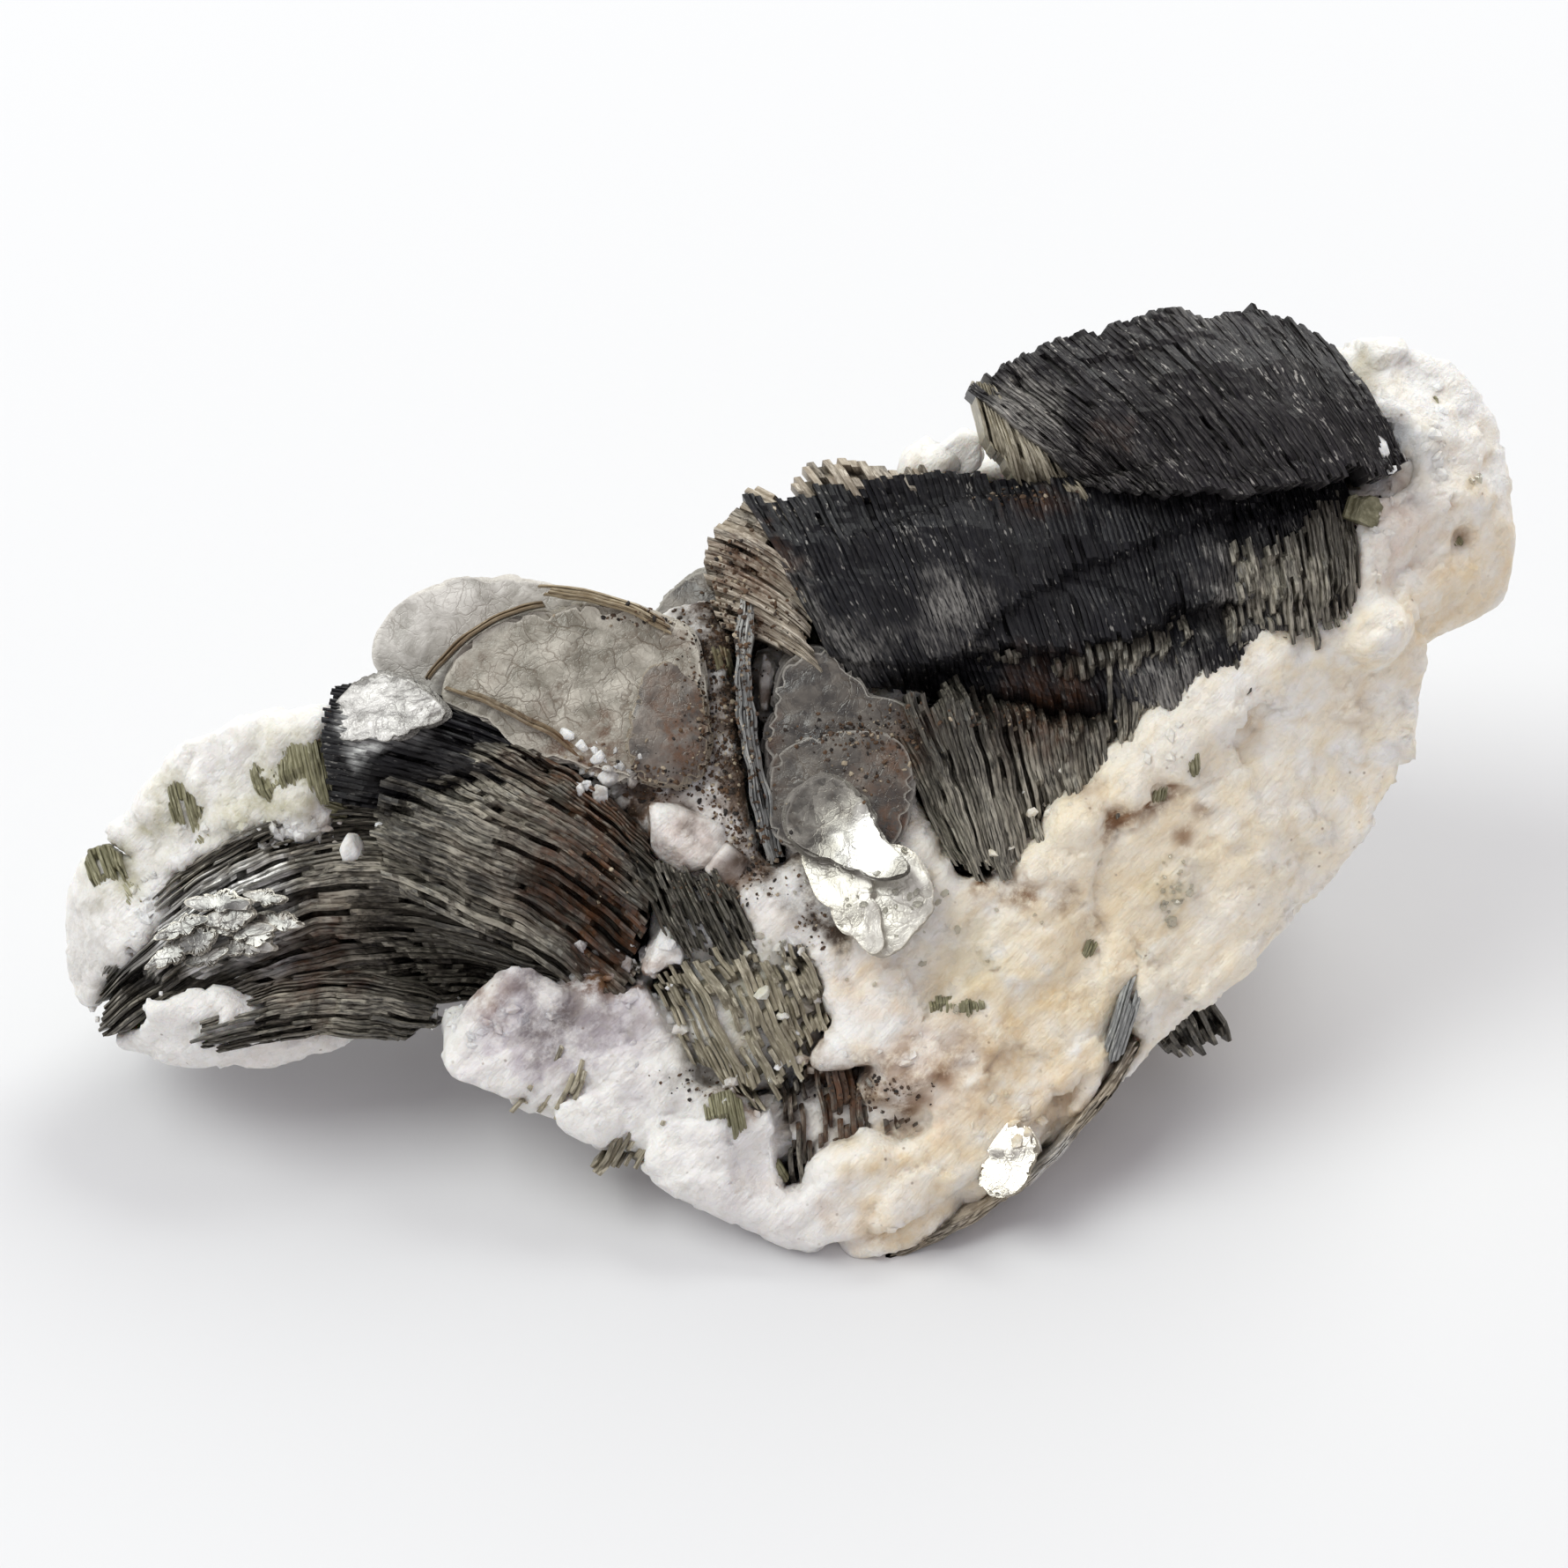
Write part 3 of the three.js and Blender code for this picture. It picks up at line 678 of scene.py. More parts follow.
def facets(sketch: Sketch, place: bpy.types.NodeSocket, scale: float, slope: float) -> tuple[bpy.types.NodeSocket, bpy.types.NodeSocket]:
    """Adds a pattern of flat grains, each tilted its own way.

    Args:
        sketch: The tree.
        place: The place, in millimetres.
        scale: Grains for each millimetre.
        slope: How steeply the grains tilt.

    Returns:
        The height in millimetres and a random number for each grain.
    """
    cells = sketch.add("TexVoronoi", {"Vector": place, "Scale": scale, "Randomness": 1.0})
    off = sketch.add("VectorMath", {0: place, 1: cells.outputs["Position"]}, operation="SUBTRACT").outputs[0]
    tilt = sketch.add("VectorMath", {0: cells.outputs["Color"], 1: (0.5, 0.5, 0.5)}, operation="SUBTRACT").outputs[0]
    height = sketch.add("VectorMath", {0: off, 1: tilt}, operation="DOT_PRODUCT").outputs["Value"]
    tone = sketch.add("SeparateColor", {"Color": cells.outputs["Color"]}).outputs[0]
    return sketch.math("MULTIPLY", height, 2 * slope), tone


CLEAVAGE_WAY = (0.69, 0.48, 0.54)  # the way that the feldspar splits


def grain_group() -> bpy.types.NodeTree:
    """Builds the group of sugary grains that feldspar breaks into.

    Returns:
        A group that takes a place in millimetres. It gives a height, a random number for each grain,
        a mask of dark specks and the streaks of the cleavage.
    """
    given = [(name, "NodeSocketFloat") for name in ("Height", "Grain", "Specks", "Streaks")]
    sketch, start, end = new_group("feldspar_grain", [("Place", "NodeSocketVector")], given)
    where = start.outputs["Place"]
    bent = sketch.add("TexNoise", {"Vector": where, "Scale": 1.2, "Detail": 2.0}).outputs["Color"]
    place = sketch.add("VectorMath", {0: where, 1: bent}, operation="ADD").outputs[0]
    cleaved, _ = facets(sketch, place, 0.42, 0.17)
    sugary, tone = facets(sketch, place, 1.8, 0.24)
    along = sketch.add("VectorMath", {0: where, 1: CLEAVAGE_WAY}, operation="DOT_PRODUCT").outputs["Value"]
    back = sketch.add("VectorMath", {0: CLEAVAGE_WAY, "Scale": sketch.math("MULTIPLY", along, 0.82)}, operation="SCALE").outputs[0]
    drawn = sketch.add("VectorMath", {0: where, 1: back}, operation="SUBTRACT").outputs[0]
    streaks = sketch.noise(drawn, 0.9, 6.0, 0.68)
    sketch.tree.links.new(streaks, end.inputs["Streaks"])
    rough = sketch.math("ADD", sketch.math("MULTIPLY", sketch.noise(where, 2.4, 5.0, 0.7), 0.1), sketch.math("MULTIPLY", streaks, 0.5))
    height = sketch.math("ADD", sketch.math("ADD", cleaved, sugary), rough)
    sketch.tree.links.new(height, end.inputs["Height"])
    sketch.tree.links.new(tone, end.inputs["Grain"])
    dots = sketch.add("TexVoronoi", {"Vector": where, "Scale": 0.85, "Randomness": 1.0})
    patches = sketch.noise(where, 0.22, 2.0)
    specks = sketch.math("MULTIPLY", sketch.range(dots.outputs["Distance"], 0.12, 0.05), sketch.range(patches, 0.5, 0.6))
    sketch.tree.links.new(specks, end.inputs["Specks"])
    return sketch.tree


# --- finishes -------------------------------------------------------------------------------------


class Finish:
    """A material that is made once, when the first piece asks for it."""

    name = "finish"

    def __init__(self) -> None:
        """Starts with no material made."""
        self._made: bpy.types.Material | None = None

    def material(self) -> bpy.types.Material:
        """Returns the finish's material."""
        if self._made is None:
            self._made = bpy.data.materials.new(self.name)
            self._made.use_nodes = True
            sketch = Sketch(self._made.node_tree)
            surface = self.draw(sketch)
            sketch.add("OutputMaterial", {"Surface": surface})
        return self._made

    def draw(self, sketch: Sketch) -> bpy.types.NodeSocket:
        """Draws the material's nodes.

        Args:
            sketch: The material's tree.

        Returns:
            The shader that goes to the surface.
        """
        raise NotImplementedError

    def dress(self, piece: bpy.types.Object, slot: str) -> None:
        """Gives a piece this finish.

        Args:
            piece: The piece.
            slot: The record's material slot that it stands for. It is not used.
        """
        piece.data.materials.clear()
        piece.data.materials.append(self.material())


class SharedGroups:
    """The node groups that more than one finish places."""

    def __init__(self) -> None:
        """Builds the groups."""
        self.streaks = streaks_group()
        self.grain = grain_group()


@dataclass(frozen=True)
class EdgeColours:
    """The colours of a book's sheet edges."""

    deep: tuple[float, float, float, float]
    body: tuple[float, float, float, float]
    fleck: tuple[float, float, float, float]
    # bright: the colour of the painted glints on the strongest flecks
    bright: tuple[float, float, float, float] = srgb(196, 186, 164)
    rust: tuple[float, float, float, float] = srgb(92, 58, 34)
    # silver: pale silver that the silver tint paints on sheet edges, partly a painted highlight
    silver: tuple[float, float, float, float] = srgb(214, 214, 212)
    # dark: the near-black of the painted shade along creases
    dark: tuple[float, float, float, float] = srgb(15, 13, 13)
    paleness: float = 0.0
    scratches: float = 0.6
    roughness: float = 0.38
    gloss: float = 0.3


class SheetEdgeFinish(Finish):
    """Mica sheets seen edge-on: dark, glossy and streaked along the sheets."""

    def __init__(self, name: str, groups: SharedGroups, colours: EdgeColours) -> None:
        """Keeps the finish's colours.

        Args:
            name: The material's name.
            groups: The shared node groups.
            colours: The colours of the edges.
        """
        super().__init__()
        self.name = name
        self.groups = groups
        self.colours = colours

    def draw(self, sketch: Sketch) -> bpy.types.NodeSocket:
        """Draws streaks, stains, painted glints, painted highlights, painted shade along creases and a fine relief
        over a dark body. See Finish.draw.
        """
        c = self.colours
        place = sketch.attribute("sheet_place", vector=True)
        tone = sketch.attribute("tone")
        proud_glint = sketch.attribute("proud_glint")
        pale = sketch.math("ADD", sketch.attribute(Tint.PALE.value), c.paleness, clamp=True)
        streaks = self._streaks(sketch, place, pale)
        body = sketch.blend(tone, c.deep, c.body)
        lines = sketch.math("MULTIPLY", streaks.outputs["Lines"], sketch.range(pale, 0.15, 1.0, 0.05, 0.75))
        lined = sketch.blend(lines, body, c.fleck)
        # Painted glints: flecks are strongest on sheet edges that stand proud, and on sheets of high tone the
        # strongest flecks are lifted further to a bright glint colour.
        glinting = sketch.math("MULTIPLY_ADD", proud_glint, 0.75)
        glinting.node.inputs[2].default_value = 0.22
        flecked = sketch.math("MULTIPLY", streaks.outputs["Flecks"], glinting, clamp=True)
        colour = sketch.blend(flecked, lined, c.fleck)
        colour = sketch.blend(sketch.math("MULTIPLY", streaks.outputs["Scratches"], c.scratches), colour, c.fleck)
        painted_glint = sketch.math("MULTIPLY", sketch.range(flecked, 0.5, 1.0), sketch.range(tone, 0.55, 0.9))
        colour = sketch.blend(sketch.math("MULTIPLY", painted_glint, sketch.range(pale, 0.1, 0.9, 0.3, 0.9)), colour, c.bright)
        # Painted shade: the crease shade tint darkens the edges toward near-black, most where the streak height is
        # low.
        shade = sketch.math("MULTIPLY", sketch.attribute(Tint.DARK.value), sketch.range(streaks.outputs["Height"], 0.7, 0.4, 0.5, 1.0))
        colour = sketch.blend(shade, colour, c.dark)
        stain = sketch.noise(place, 0.9, 4.0, 0.7)
        rusty = sketch.math("MULTIPLY", sketch.attribute(Tint.RUST.value), sketch.range(stain, 0.38, 0.6, 0.1, 0.85))
        colour = sketch.blend(rusty, colour, c.rust)
        # Silvery sheen, partly painted highlight: where the silver tint lies, high parts of the edges turn pale
        # silver, metallic and smoother.
        silver = sketch.math("MULTIPLY", sketch.attribute(Tint.SILVER_AND_HIGHLIGHT.value), sketch.range(streaks.outputs["Height"], 0.36, 0.52))
        colour = sketch.blend(silver, colour, c.silver)
        roughness = sketch.math("ADD", sketch.math("MULTIPLY", streaks.outputs["Height"], 0.4), c.roughness - 0.18)
        shine = sketch.math("SUBTRACT", roughness, sketch.math("MULTIPLY", silver, 0.14))
        relief = sketch.add("Bump", {"Height": streaks.outputs["Height"], "Distance": 0.16 * MM, "Strength": 0.8})
        inputs = {
            "Base Color": colour,
            "Roughness": shine,
            "Metallic": sketch.math("MULTIPLY", silver, 0.75),
            "Normal": relief.outputs["Normal"],
            "Specular IOR Level": c.gloss,
            "IOR": 1.58,
        }
        return sketch.add("BsdfPrincipled", inputs).outputs[0]

    def _streaks(self, sketch: Sketch, place: bpy.types.NodeSocket, pale: bpy.types.NodeSocket) -> bpy.types.Node:
        """Places the shared group of streaks.

        Args:
            sketch: The material's tree.
            place: The place on the sheets.
            pale: How pale the sheets are.

        Returns:
            The group's node.
        """
        node = sketch.add("Group", node_tree=self.groups.streaks)
        sketch.tree.links.new(place, node.inputs["Place"])
        sketch.tree.links.new(pale, node.inputs["Paleness"])
        return node


@dataclass(frozen=True)
class PlateColours:
    """The colours of a plate's flat face."""

    body: tuple[float, float, float, float]
    light: tuple[float, float, float, float]
    rim: tuple[float, float, float, float] = srgb(206, 200, 186)
    crack: tuple[float, float, float, float] = srgb(92, 74, 52)
    rust: tuple[float, float, float, float] = srgb(98, 66, 38)
    metallic: float = 0.0
    roughness: float = 0.3
    crack_strength: float = 0.3
    crinkle: float = 0.22
    coat: float = 0.2
    patches: float = 0.25
    stretch: float = 1.0
    # painted_highlight: how strongly the face is painted near-white as a highlight where the silver tint lies
    painted_highlight: float = 0.0


class SheetFaceFinish(Finish):
    """Mica sheets seen face-on: pearly, crinkled and cracked, with light rims."""

    def __init__(self, name: str, colours: PlateColours) -> None:
        """Keeps the finish's colours.

        Args:
            name: The material's name.
            colours: The colours of the flat face.
        """
        super().__init__()
        self.name = name
        self.colours = colours

    def draw(self, sketch: Sketch) -> bpy.types.NodeSocket:
        """Draws crinkles, cracks, stains, rims and a painted highlight. See Finish.draw."""
        c = self.colours
        place = in_millimetres(sketch)
        swirl = sketch.add("TexNoise", {"Vector": place, "Scale": 0.45, "Detail": 4.0}).outputs["Color"]
        bent = sketch.add("VectorMath", {0: place, 1: swirl}, operation="ADD").outputs[0]
        bent = sketch.add("VectorMath", {0: bent, 1: swirl}, operation="ADD").outputs[0]
        drawn = sketch.add("VectorMath", {0: bent, 1: (1.0 / c.stretch, c.stretch, c.stretch)}, operation="MULTIPLY").outputs[0]
        crinkle = sketch.noise(drawn, 0.5, 7.0, 0.6)
        folds = sketch.add("TexVoronoi", {"Vector": bent, "Scale": 0.42}, feature="DISTANCE_TO_EDGE").outputs["Distance"]
        fine = sketch.add("TexVoronoi", {"Vector": bent, "Scale": 1.5}, feature="DISTANCE_TO_EDGE").outputs["Distance"]
        lines = sketch.math("MAXIMUM", sketch.range(folds, 0.03, 0.0), sketch.math("MULTIPLY", sketch.range(fine, 0.07, 0.0), 0.6))
        patchy = sketch.math("MULTIPLY", lines, sketch.range(sketch.noise(place, 0.35, 2.0), 0.36, 0.54))
        cells = sketch.add("TexVoronoi", {"Vector": bent, "Scale": 0.62}).outputs["Color"]
        chips = sketch.add("TexVoronoi", {"Vector": bent, "Scale": 1.7}).outputs["Color"]
        sheet = sketch.add("VectorMath", {0: cells, 1: (0.65, 0.0, 0.0)}, operation="DOT_PRODUCT").outputs["Value"]
        sliver = sketch.add("VectorMath", {0: chips, 1: (0.35, 0.0, 0.0)}, operation="DOT_PRODUCT").outputs["Value"]
        patch = sketch.math("MULTIPLY", sketch.math("SUBTRACT", sketch.math("ADD", sheet, sliver), 0.5), c.patches)
        crinkle = sketch.math("ADD", crinkle, patch)
        colour = sketch.blend(sketch.range(crinkle, 0.34, 0.68), c.body, c.light)
        colour = sketch.blend(sketch.math("MULTIPLY", patchy, c.crack_strength), colour, c.crack)
        stain = sketch.range(sketch.noise(place, 1.1, 5.0, 0.7), 0.4, 0.6)
        colour = sketch.blend(sketch.math("MULTIPLY", sketch.attribute(Tint.RUST.value), stain), colour, c.rust)
        # Painted highlight: where the silver tint lies, the face is blended toward near-white, more where the crinkle
        # is high.
        painted_highlight = sketch.math("MULTIPLY", sketch.attribute(Tint.SILVER_AND_HIGHLIGHT.value), sketch.range(crinkle, 0.3, 0.46, 0.5 * c.painted_highlight, c.painted_highlight))
        colour = sketch.blend(painted_highlight, colour, srgb(250, 248, 243))
        colour = sketch.blend(sketch.math("MULTIPLY", sketch.attribute("rim"), 0.8), colour, c.rim)
        height = sketch.math("SUBTRACT", crinkle, sketch.math("MULTIPLY", patchy, 0.15))
        relief = sketch.add("Bump", {"Height": height, "Distance": c.crinkle * MM, "Strength": 0.8})
        inputs = {
            "Base Color": colour,
            "Roughness": sketch.range(crinkle, 0.3, 0.7, c.roughness - 0.08, c.roughness + 0.14),
            "Metallic": c.metallic,
            "Normal": relief.outputs["Normal"],
            "Specular IOR Level": 0.6,
            "IOR": 1.58,
            "Coat Weight": c.coat,
            "Coat Roughness": 0.15,
        }
        return sketch.add("BsdfPrincipled", inputs).outputs[0]


@dataclass(frozen=True)
class RockColours:
    """The colours of the feldspar."""

    white: tuple[float, float, float, float] = srgb(244, 242, 238)
    cream: tuple[float, float, float, float] = srgb(246, 234, 210)
    yellow: tuple[float, float, float, float] = srgb(228, 200, 150)
    pink: tuple[float, float, float, float] = srgb(222, 200, 188)
    # lilac: lilac and darker than the white, partly painted shade on the down-facing facet
    lilac: tuple[float, float, float, float] = srgb(196, 186, 194)
    olive: tuple[float, float, float, float] = srgb(178, 172, 128)
    brown: tuple[float, float, float, float] = srgb(132, 92, 56)
    # dirt_and_shade: dark brown for dirt stains, also used to paint shade
    dirt_and_shade: tuple[float, float, float, float] = srgb(70, 54, 40)
    speck: tuple[float, float, float, float] = srgb(112, 78, 46)
    grey: tuple[float, float, float, float] = srgb(206, 200, 188)


class FeldsparFinish(Finish):
    """White and cream feldspar, granular, a little see-through, with yellow and brown stains."""

    name = "feldspar"

    def __init__(self, groups: SharedGroups, colours: RockColours) -> None:
        """Keeps the finish's colours.

        Args:
            groups: The shared node groups.
            colours: The colours of the rock.
        """
        super().__init__()
        self.groups = groups
        self.colours = colours

    def draw(self, sketch: Sketch) -> bpy.types.NodeSocket:
        """Draws tinted grains, veins, specks and some painted shade. See Finish.draw."""
        c = self.colours
        place = in_millimetres(sketch)
        grain = sketch.add("Group", node_tree=self.groups.grain)
        sketch.tree.links.new(place, grain.inputs["Place"])
        broad = sketch.noise(place, 0.16, 4.0, 0.6)
        streaky = sketch.noise(place, 0.55, 6.0, 0.7)
        share = sketch.math("MULTIPLY", sketch.attribute(Tint.CREAM.value), sketch.range(broad, 0.3, 0.6, 0.45, 1.0))
        colour = sketch.blend(share, c.white, c.cream)
        # The lilac tint also paints shade on the down-facing facet.
        for kind, hue, low, high in (
            (Tint.YELLOW, c.yellow, 0.34, 0.62),
            (Tint.PINK, c.pink, 0.3, 0.6),
            (Tint.LILAC_AND_SHADE, c.lilac, 0.3, 0.6),
            (Tint.OLIVE, c.olive, 0.35, 0.6),
        ):
            share = sketch.math("MULTIPLY", sketch.attribute(kind.value), sketch.range(streaky, low, high, 0.2, 0.9))
            colour = sketch.blend(share, colour, hue)
        colour = sketch.blend(sketch.range(grain.outputs["Grain"], 0.5, 1.0, 0.0, 0.28), colour, c.grey)
        streaks = grain.outputs["Streaks"]
        warm = sketch.math("MULTIPLY", sketch.attribute(Tint.CREAM.value), sketch.range(streaks, 0.5, 0.72, 0.0, 0.5))
        colour = sketch.blend(warm, colour, c.yellow)
        veins = sketch.range(sketch.noise(sketch.scaled(place, (0.8, 0.8, 2.0), 4.0), 0.9, 6.0, 0.75), 0.6, 0.72)
        stained = sketch.math("MULTIPLY", sketch.attribute(Tint.BROWN.value), sketch.range(streaky, 0.38, 0.52, 0.15, 1.0))
        stained = sketch.math("MAXIMUM", stained, sketch.math("MULTIPLY", veins, 0.14))
        colour = sketch.blend(stained, colour, c.brown)
        # Dirt stains, and painted shade where the tint stands for shade.
        dirt_and_shade_share = sketch.math("MULTIPLY", sketch.attribute(Tint.DIRT_AND_SHADE.value), sketch.range(streaky, 0.36, 0.56, 0.2, 1.0))
        colour = sketch.blend(dirt_and_shade_share, colour, c.dirt_and_shade)
        colour = sketch.blend(sketch.math("MULTIPLY", grain.outputs["Specks"], 0.6), colour, c.speck)
        relief = sketch.add("Bump", {"Height": grain.outputs["Height"], "Distance": 1.0 * MM, "Strength": 0.7})
        inputs = {
            "Base Color": colour,
            "Roughness": sketch.range(grain.outputs["Grain"], 0.0, 0.35, 0.24, 0.55),
            "Normal": relief.outputs["Normal"],
            "Specular IOR Level": 0.5,
            "IOR": 1.53,
            "Subsurface Weight": 0.35,
            "Subsurface Radius": (1.0, 0.8, 0.6),
            "Subsurface Scale": 1.0 * MM,
        }
        return sketch.add("BsdfPrincipled", inputs).outputs[0]


class IronCrumbFinish(Finish):
    """Brown iron oxide that clings in the hollows."""

    name = "iron_crumb"

    def draw(self, sketch: Sketch) -> bpy.types.NodeSocket:
        """Draws mottled rust. See Finish.draw."""
        place = in_millimetres(sketch)
        mottle = sketch.noise(place, 1.6, 5.0, 0.7)
        tone = sketch.attribute("tone")
        colour = sketch.blend(sketch.range(mottle, 0.35, 0.65), srgb(52, 38, 29), srgb(104, 76, 50))
        colour = sketch.blend(sketch.range(tone, 0.8, 0.9), colour, srgb(168, 154, 132))
        colour = sketch.blend(sketch.range(tone, 0.4, 0.15), colour, srgb(34, 28, 24))
        relief = sketch.add("Bump", {"Height": sketch.noise(place, 5.0, 3.0), "Distance": 0.1 * MM, "Strength": 0.6})
        inputs = {"Base Color": colour, "Roughness": 0.7, "Normal": relief.outputs["Normal"]}
        return sketch.add("BsdfPrincipled", inputs).outputs[0]


class ClearGrainFinish(Finish):
    """Small clear grains that glint on the rock."""

    name = "clear_grain"

    def draw(self, sketch: Sketch) -> bpy.types.NodeSocket:
        """Draws a clear, faintly smoky crystal. See Finish.draw."""
        inputs = {
            "Base Color": srgb(232, 230, 218),
            "Roughness": 0.06,
            "Transmission Weight": 0.75,
            "IOR": 1.55,
        }
        return sketch.add("BsdfPrincipled", inputs).outputs[0]


# --- breaks ---------------------------------------------------------------------------------------


class Side(Enum):
    """The side of a crease that falls away: both, or only the one below or above its line."""

    BOTH = 0
    BELOW = -1
    ABOVE = 1


@dataclass(frozen=True)
class Crease:
    """A line on the broken face where the mica falls back, in face millimetres."""

    line: tuple[tuple[float, float], ...]
    width: float
    depth: float
    side: Side = Side.BOTH


CREASES = (
    Crease(((6.4, 16.6), (12.1, 18.4), (16.5, 19.3), (18.3, 20.0), (23.7, 20.5)), 3.2, 1.5, Side.ABOVE),
    Crease(((8.0, 7.6), (12.1, 8.9), (16.5, 12.7), (21.4, 14.7), (25.8, 16.4), (29.0, 17.6)), 3.6, 0.9, Side.BELOW),
    Crease(((10.0, 7.9), (13.4, 8.7), (19.6, 9.0), (22.7, 9.8), (25.8, 11.3), (29.6, 11.9)), 2.6, 1.9, Side.BELOW),
    Crease(((7.5, 6.4), (14.0, 5.0), (20.5, 4.4)), 1.7, 3.2),
    Crease(((-2.4, 15.4), (0.8, 12.6), (2.0, 9.6)), 1.0, 1.0),
    Crease(((29.2, 9.6), (29.6, 17.0)), 0.9, 0.7),
    Crease(((-42.8, -12.7), (-38.7, -13.0), (-35.3, -11.2), (-31.9, -10.3), (-26.7, -11.2), (-23.2, -13.8), (-20.8, -15.0)), 2.3, 2.6, Side.BELOW),
    Crease(((-26.6, -9.2), (-22.6, -11.6), (-18.6, -14.6)), 3.0, 3.6),
    Crease(((-25.8, -5.0), (-19.4, -6.9), (-14.7, -9.4), (-12.4, -12.4)), 1.3, 1.4),
    Crease(((-15.6, -6.6), (-11.6, -8.8), (-10.0, -11.4)), 2.2, 2.6),
    Crease(((-43.0, -7.4), (-38.0, -4.6), (-33.5, -3.8), (-27.6, -3.6)), 0.9, 1.0),
    Crease(((-31.5, -2.6), (-27.0, -2.9), (-24.8, -1.8)), 1.4, 1.3, Side.BELOW),
    Crease(((-24.0, -0.6), (-20.4, 0.4), (-15.6, 0.6)), 1.0, 0.9),
    Crease(((16.0, 26.2), (20.0, 22.4), (24.2, 19.6)), 0.8, 0.8),
    Crease(((33.0, 29.6), (35.6, 24.0), (37.4, 20.4)), 0.7, 0.5),
)


CALM_SPOTS = (
    Spot(33.4, 26.2, 6.5),
    Spot(36.4, 22.6, 4.5),
    Spot(27.6, 28.0, 4.0, 0.6),
    Spot(7.4, 12.6, 6.0),
    Spot(12.4, 14.6, 5.0),
    Spot(17.6, 13.4, 4.5, 0.8),
    Spot(22.0, 9.4, 3.4, 0.7),
    Spot(27.0, 15.0, 4.0, 0.6),
    Spot(9.6, 18.4, 3.6, 0.7),
    Spot(14.2, 8.6, 3.4, 0.6),
    Spot(-27.6, 0.6, 3.0),
)


def calm_at(x: np.ndarray, y: np.ndarray) -> np.ndarray:
    """Adds up how even the mica is broken at places on the broken face.

    Args:
        x: The places' x, in face millimetres.
        y: The places' y.

    Returns:
        From 0 where it is frayed to 1 where it is smooth.
    """
    total = np.zeros_like(x)
    for spot in CALM_SPOTS:
        total += spot.strength * np.clip(1.4 * (1 - np.hypot(x - spot.x, y - spot.y) / spot.reach), 0, 1)
    return np.clip(total, 0, 1)


def fall_at(x: np.ndarray, y: np.ndarray) -> np.ndarray:
    """Adds up how far the mica falls back at places on the broken face.

    Args:
        x: The places' x, in face millimetres.
        y: The places' y.

    Returns:
        The fall at each place, in millimetres.
    """
    total = np.zeros_like(x)
    for crease in CREASES:
        nearest = np.full_like(x, 1e6)
        signed = np.zeros_like(x)
        for (x0, y0), (x1, y1) in zip(crease.line, crease.line[1:]):
            dx, dy = x1 - x0, y1 - y0
            at = np.clip(((x - x0) * dx + (y - y0) * dy) / (dx * dx + dy * dy), 0, 1)
            away = np.hypot(x - x0 - at * dx, y - y0 - at * dy)
            turn = np.sign(dx) * (dx * (y - y0) - dy * (x - x0))
            signed = np.where(away < nearest, turn, signed)
            nearest = np.minimum(nearest, away)
        near = 1 - np.clip(nearest / crease.width, 0, 1)
        if crease.side is not Side.BOTH:
            on_side = signed * crease.side.value > 0
            near = np.where(on_side, near, 1 - np.clip(nearest / 0.25, 0, 1))
        total += crease.depth * near * near * (3 - 2 * near)
    return total


# --- mica books -----------------------------------------------------------------------------------


@dataclass(frozen=True)
class Station:
    """One sheet of a book: its middle, the angle it runs at, half its length, the sag of its ends and the
    heights of its outer and inner edges."""

    x: float
    y: float
    angle: float
    half: float
    sag: float
    front: float
    back: float


@dataclass(frozen=True)
class Fray:
    """How a book's sheets are broken, in millimetres."""

    run: float = 3.0  # mean length of an unbroken run of a sheet
    step: float = 0.25  # how far the runs of a sheet lie back
    packet_step: float = 0.4  # how far the packets of sheets lie back
    slab_step: float = 0.6  # how far the thick slabs of packets lie back
    packet: int = 5  # mean number of sheets in a packet
    missing: float = 0.1  # share of runs that are lost
    gap: float = 0.7  # how far back the rock shows where a run is lost
    wave: float = 0.12  # how far the sheets wave sideways
    ends: float = 0.5  # how far the packets' ends step
    grain: float = 0.05  # fine roughness of the outer edges
    bevel: float = 0.1  # how far a sheet's two arrises lie below its ridge
    grow: float = 0.45  # how far the book runs on into the rock


def strip_template(segments: int) -> bpy.types.Mesh:
    """Makes the unit strip that each sheet of a book is bent from.

    Args:
        segments: Number of pieces along the strip.

    Returns:
        A unit box cut along x, with a ridge line along its outer and inner sides.
    """
    bm = bmesh.new()
    bmesh.ops.create_cube(bm, size=1.0)
    for axis, cuts in ((0, segments - 1), (1, 1)):
        edges = [e for e in bm.edges if all(abs(e.verts[0].co[k] - e.verts[1].co[k]) < 1e-6 for k in range(3) if k != axis)]
        bmesh.ops.subdivide_edges(bm, edges=edges, cuts=cuts, use_grid_fill=True)
    mesh = bpy.data.meshes.new("strip")
    bm.to_mesh(mesh)
    bm.free()
    return mesh


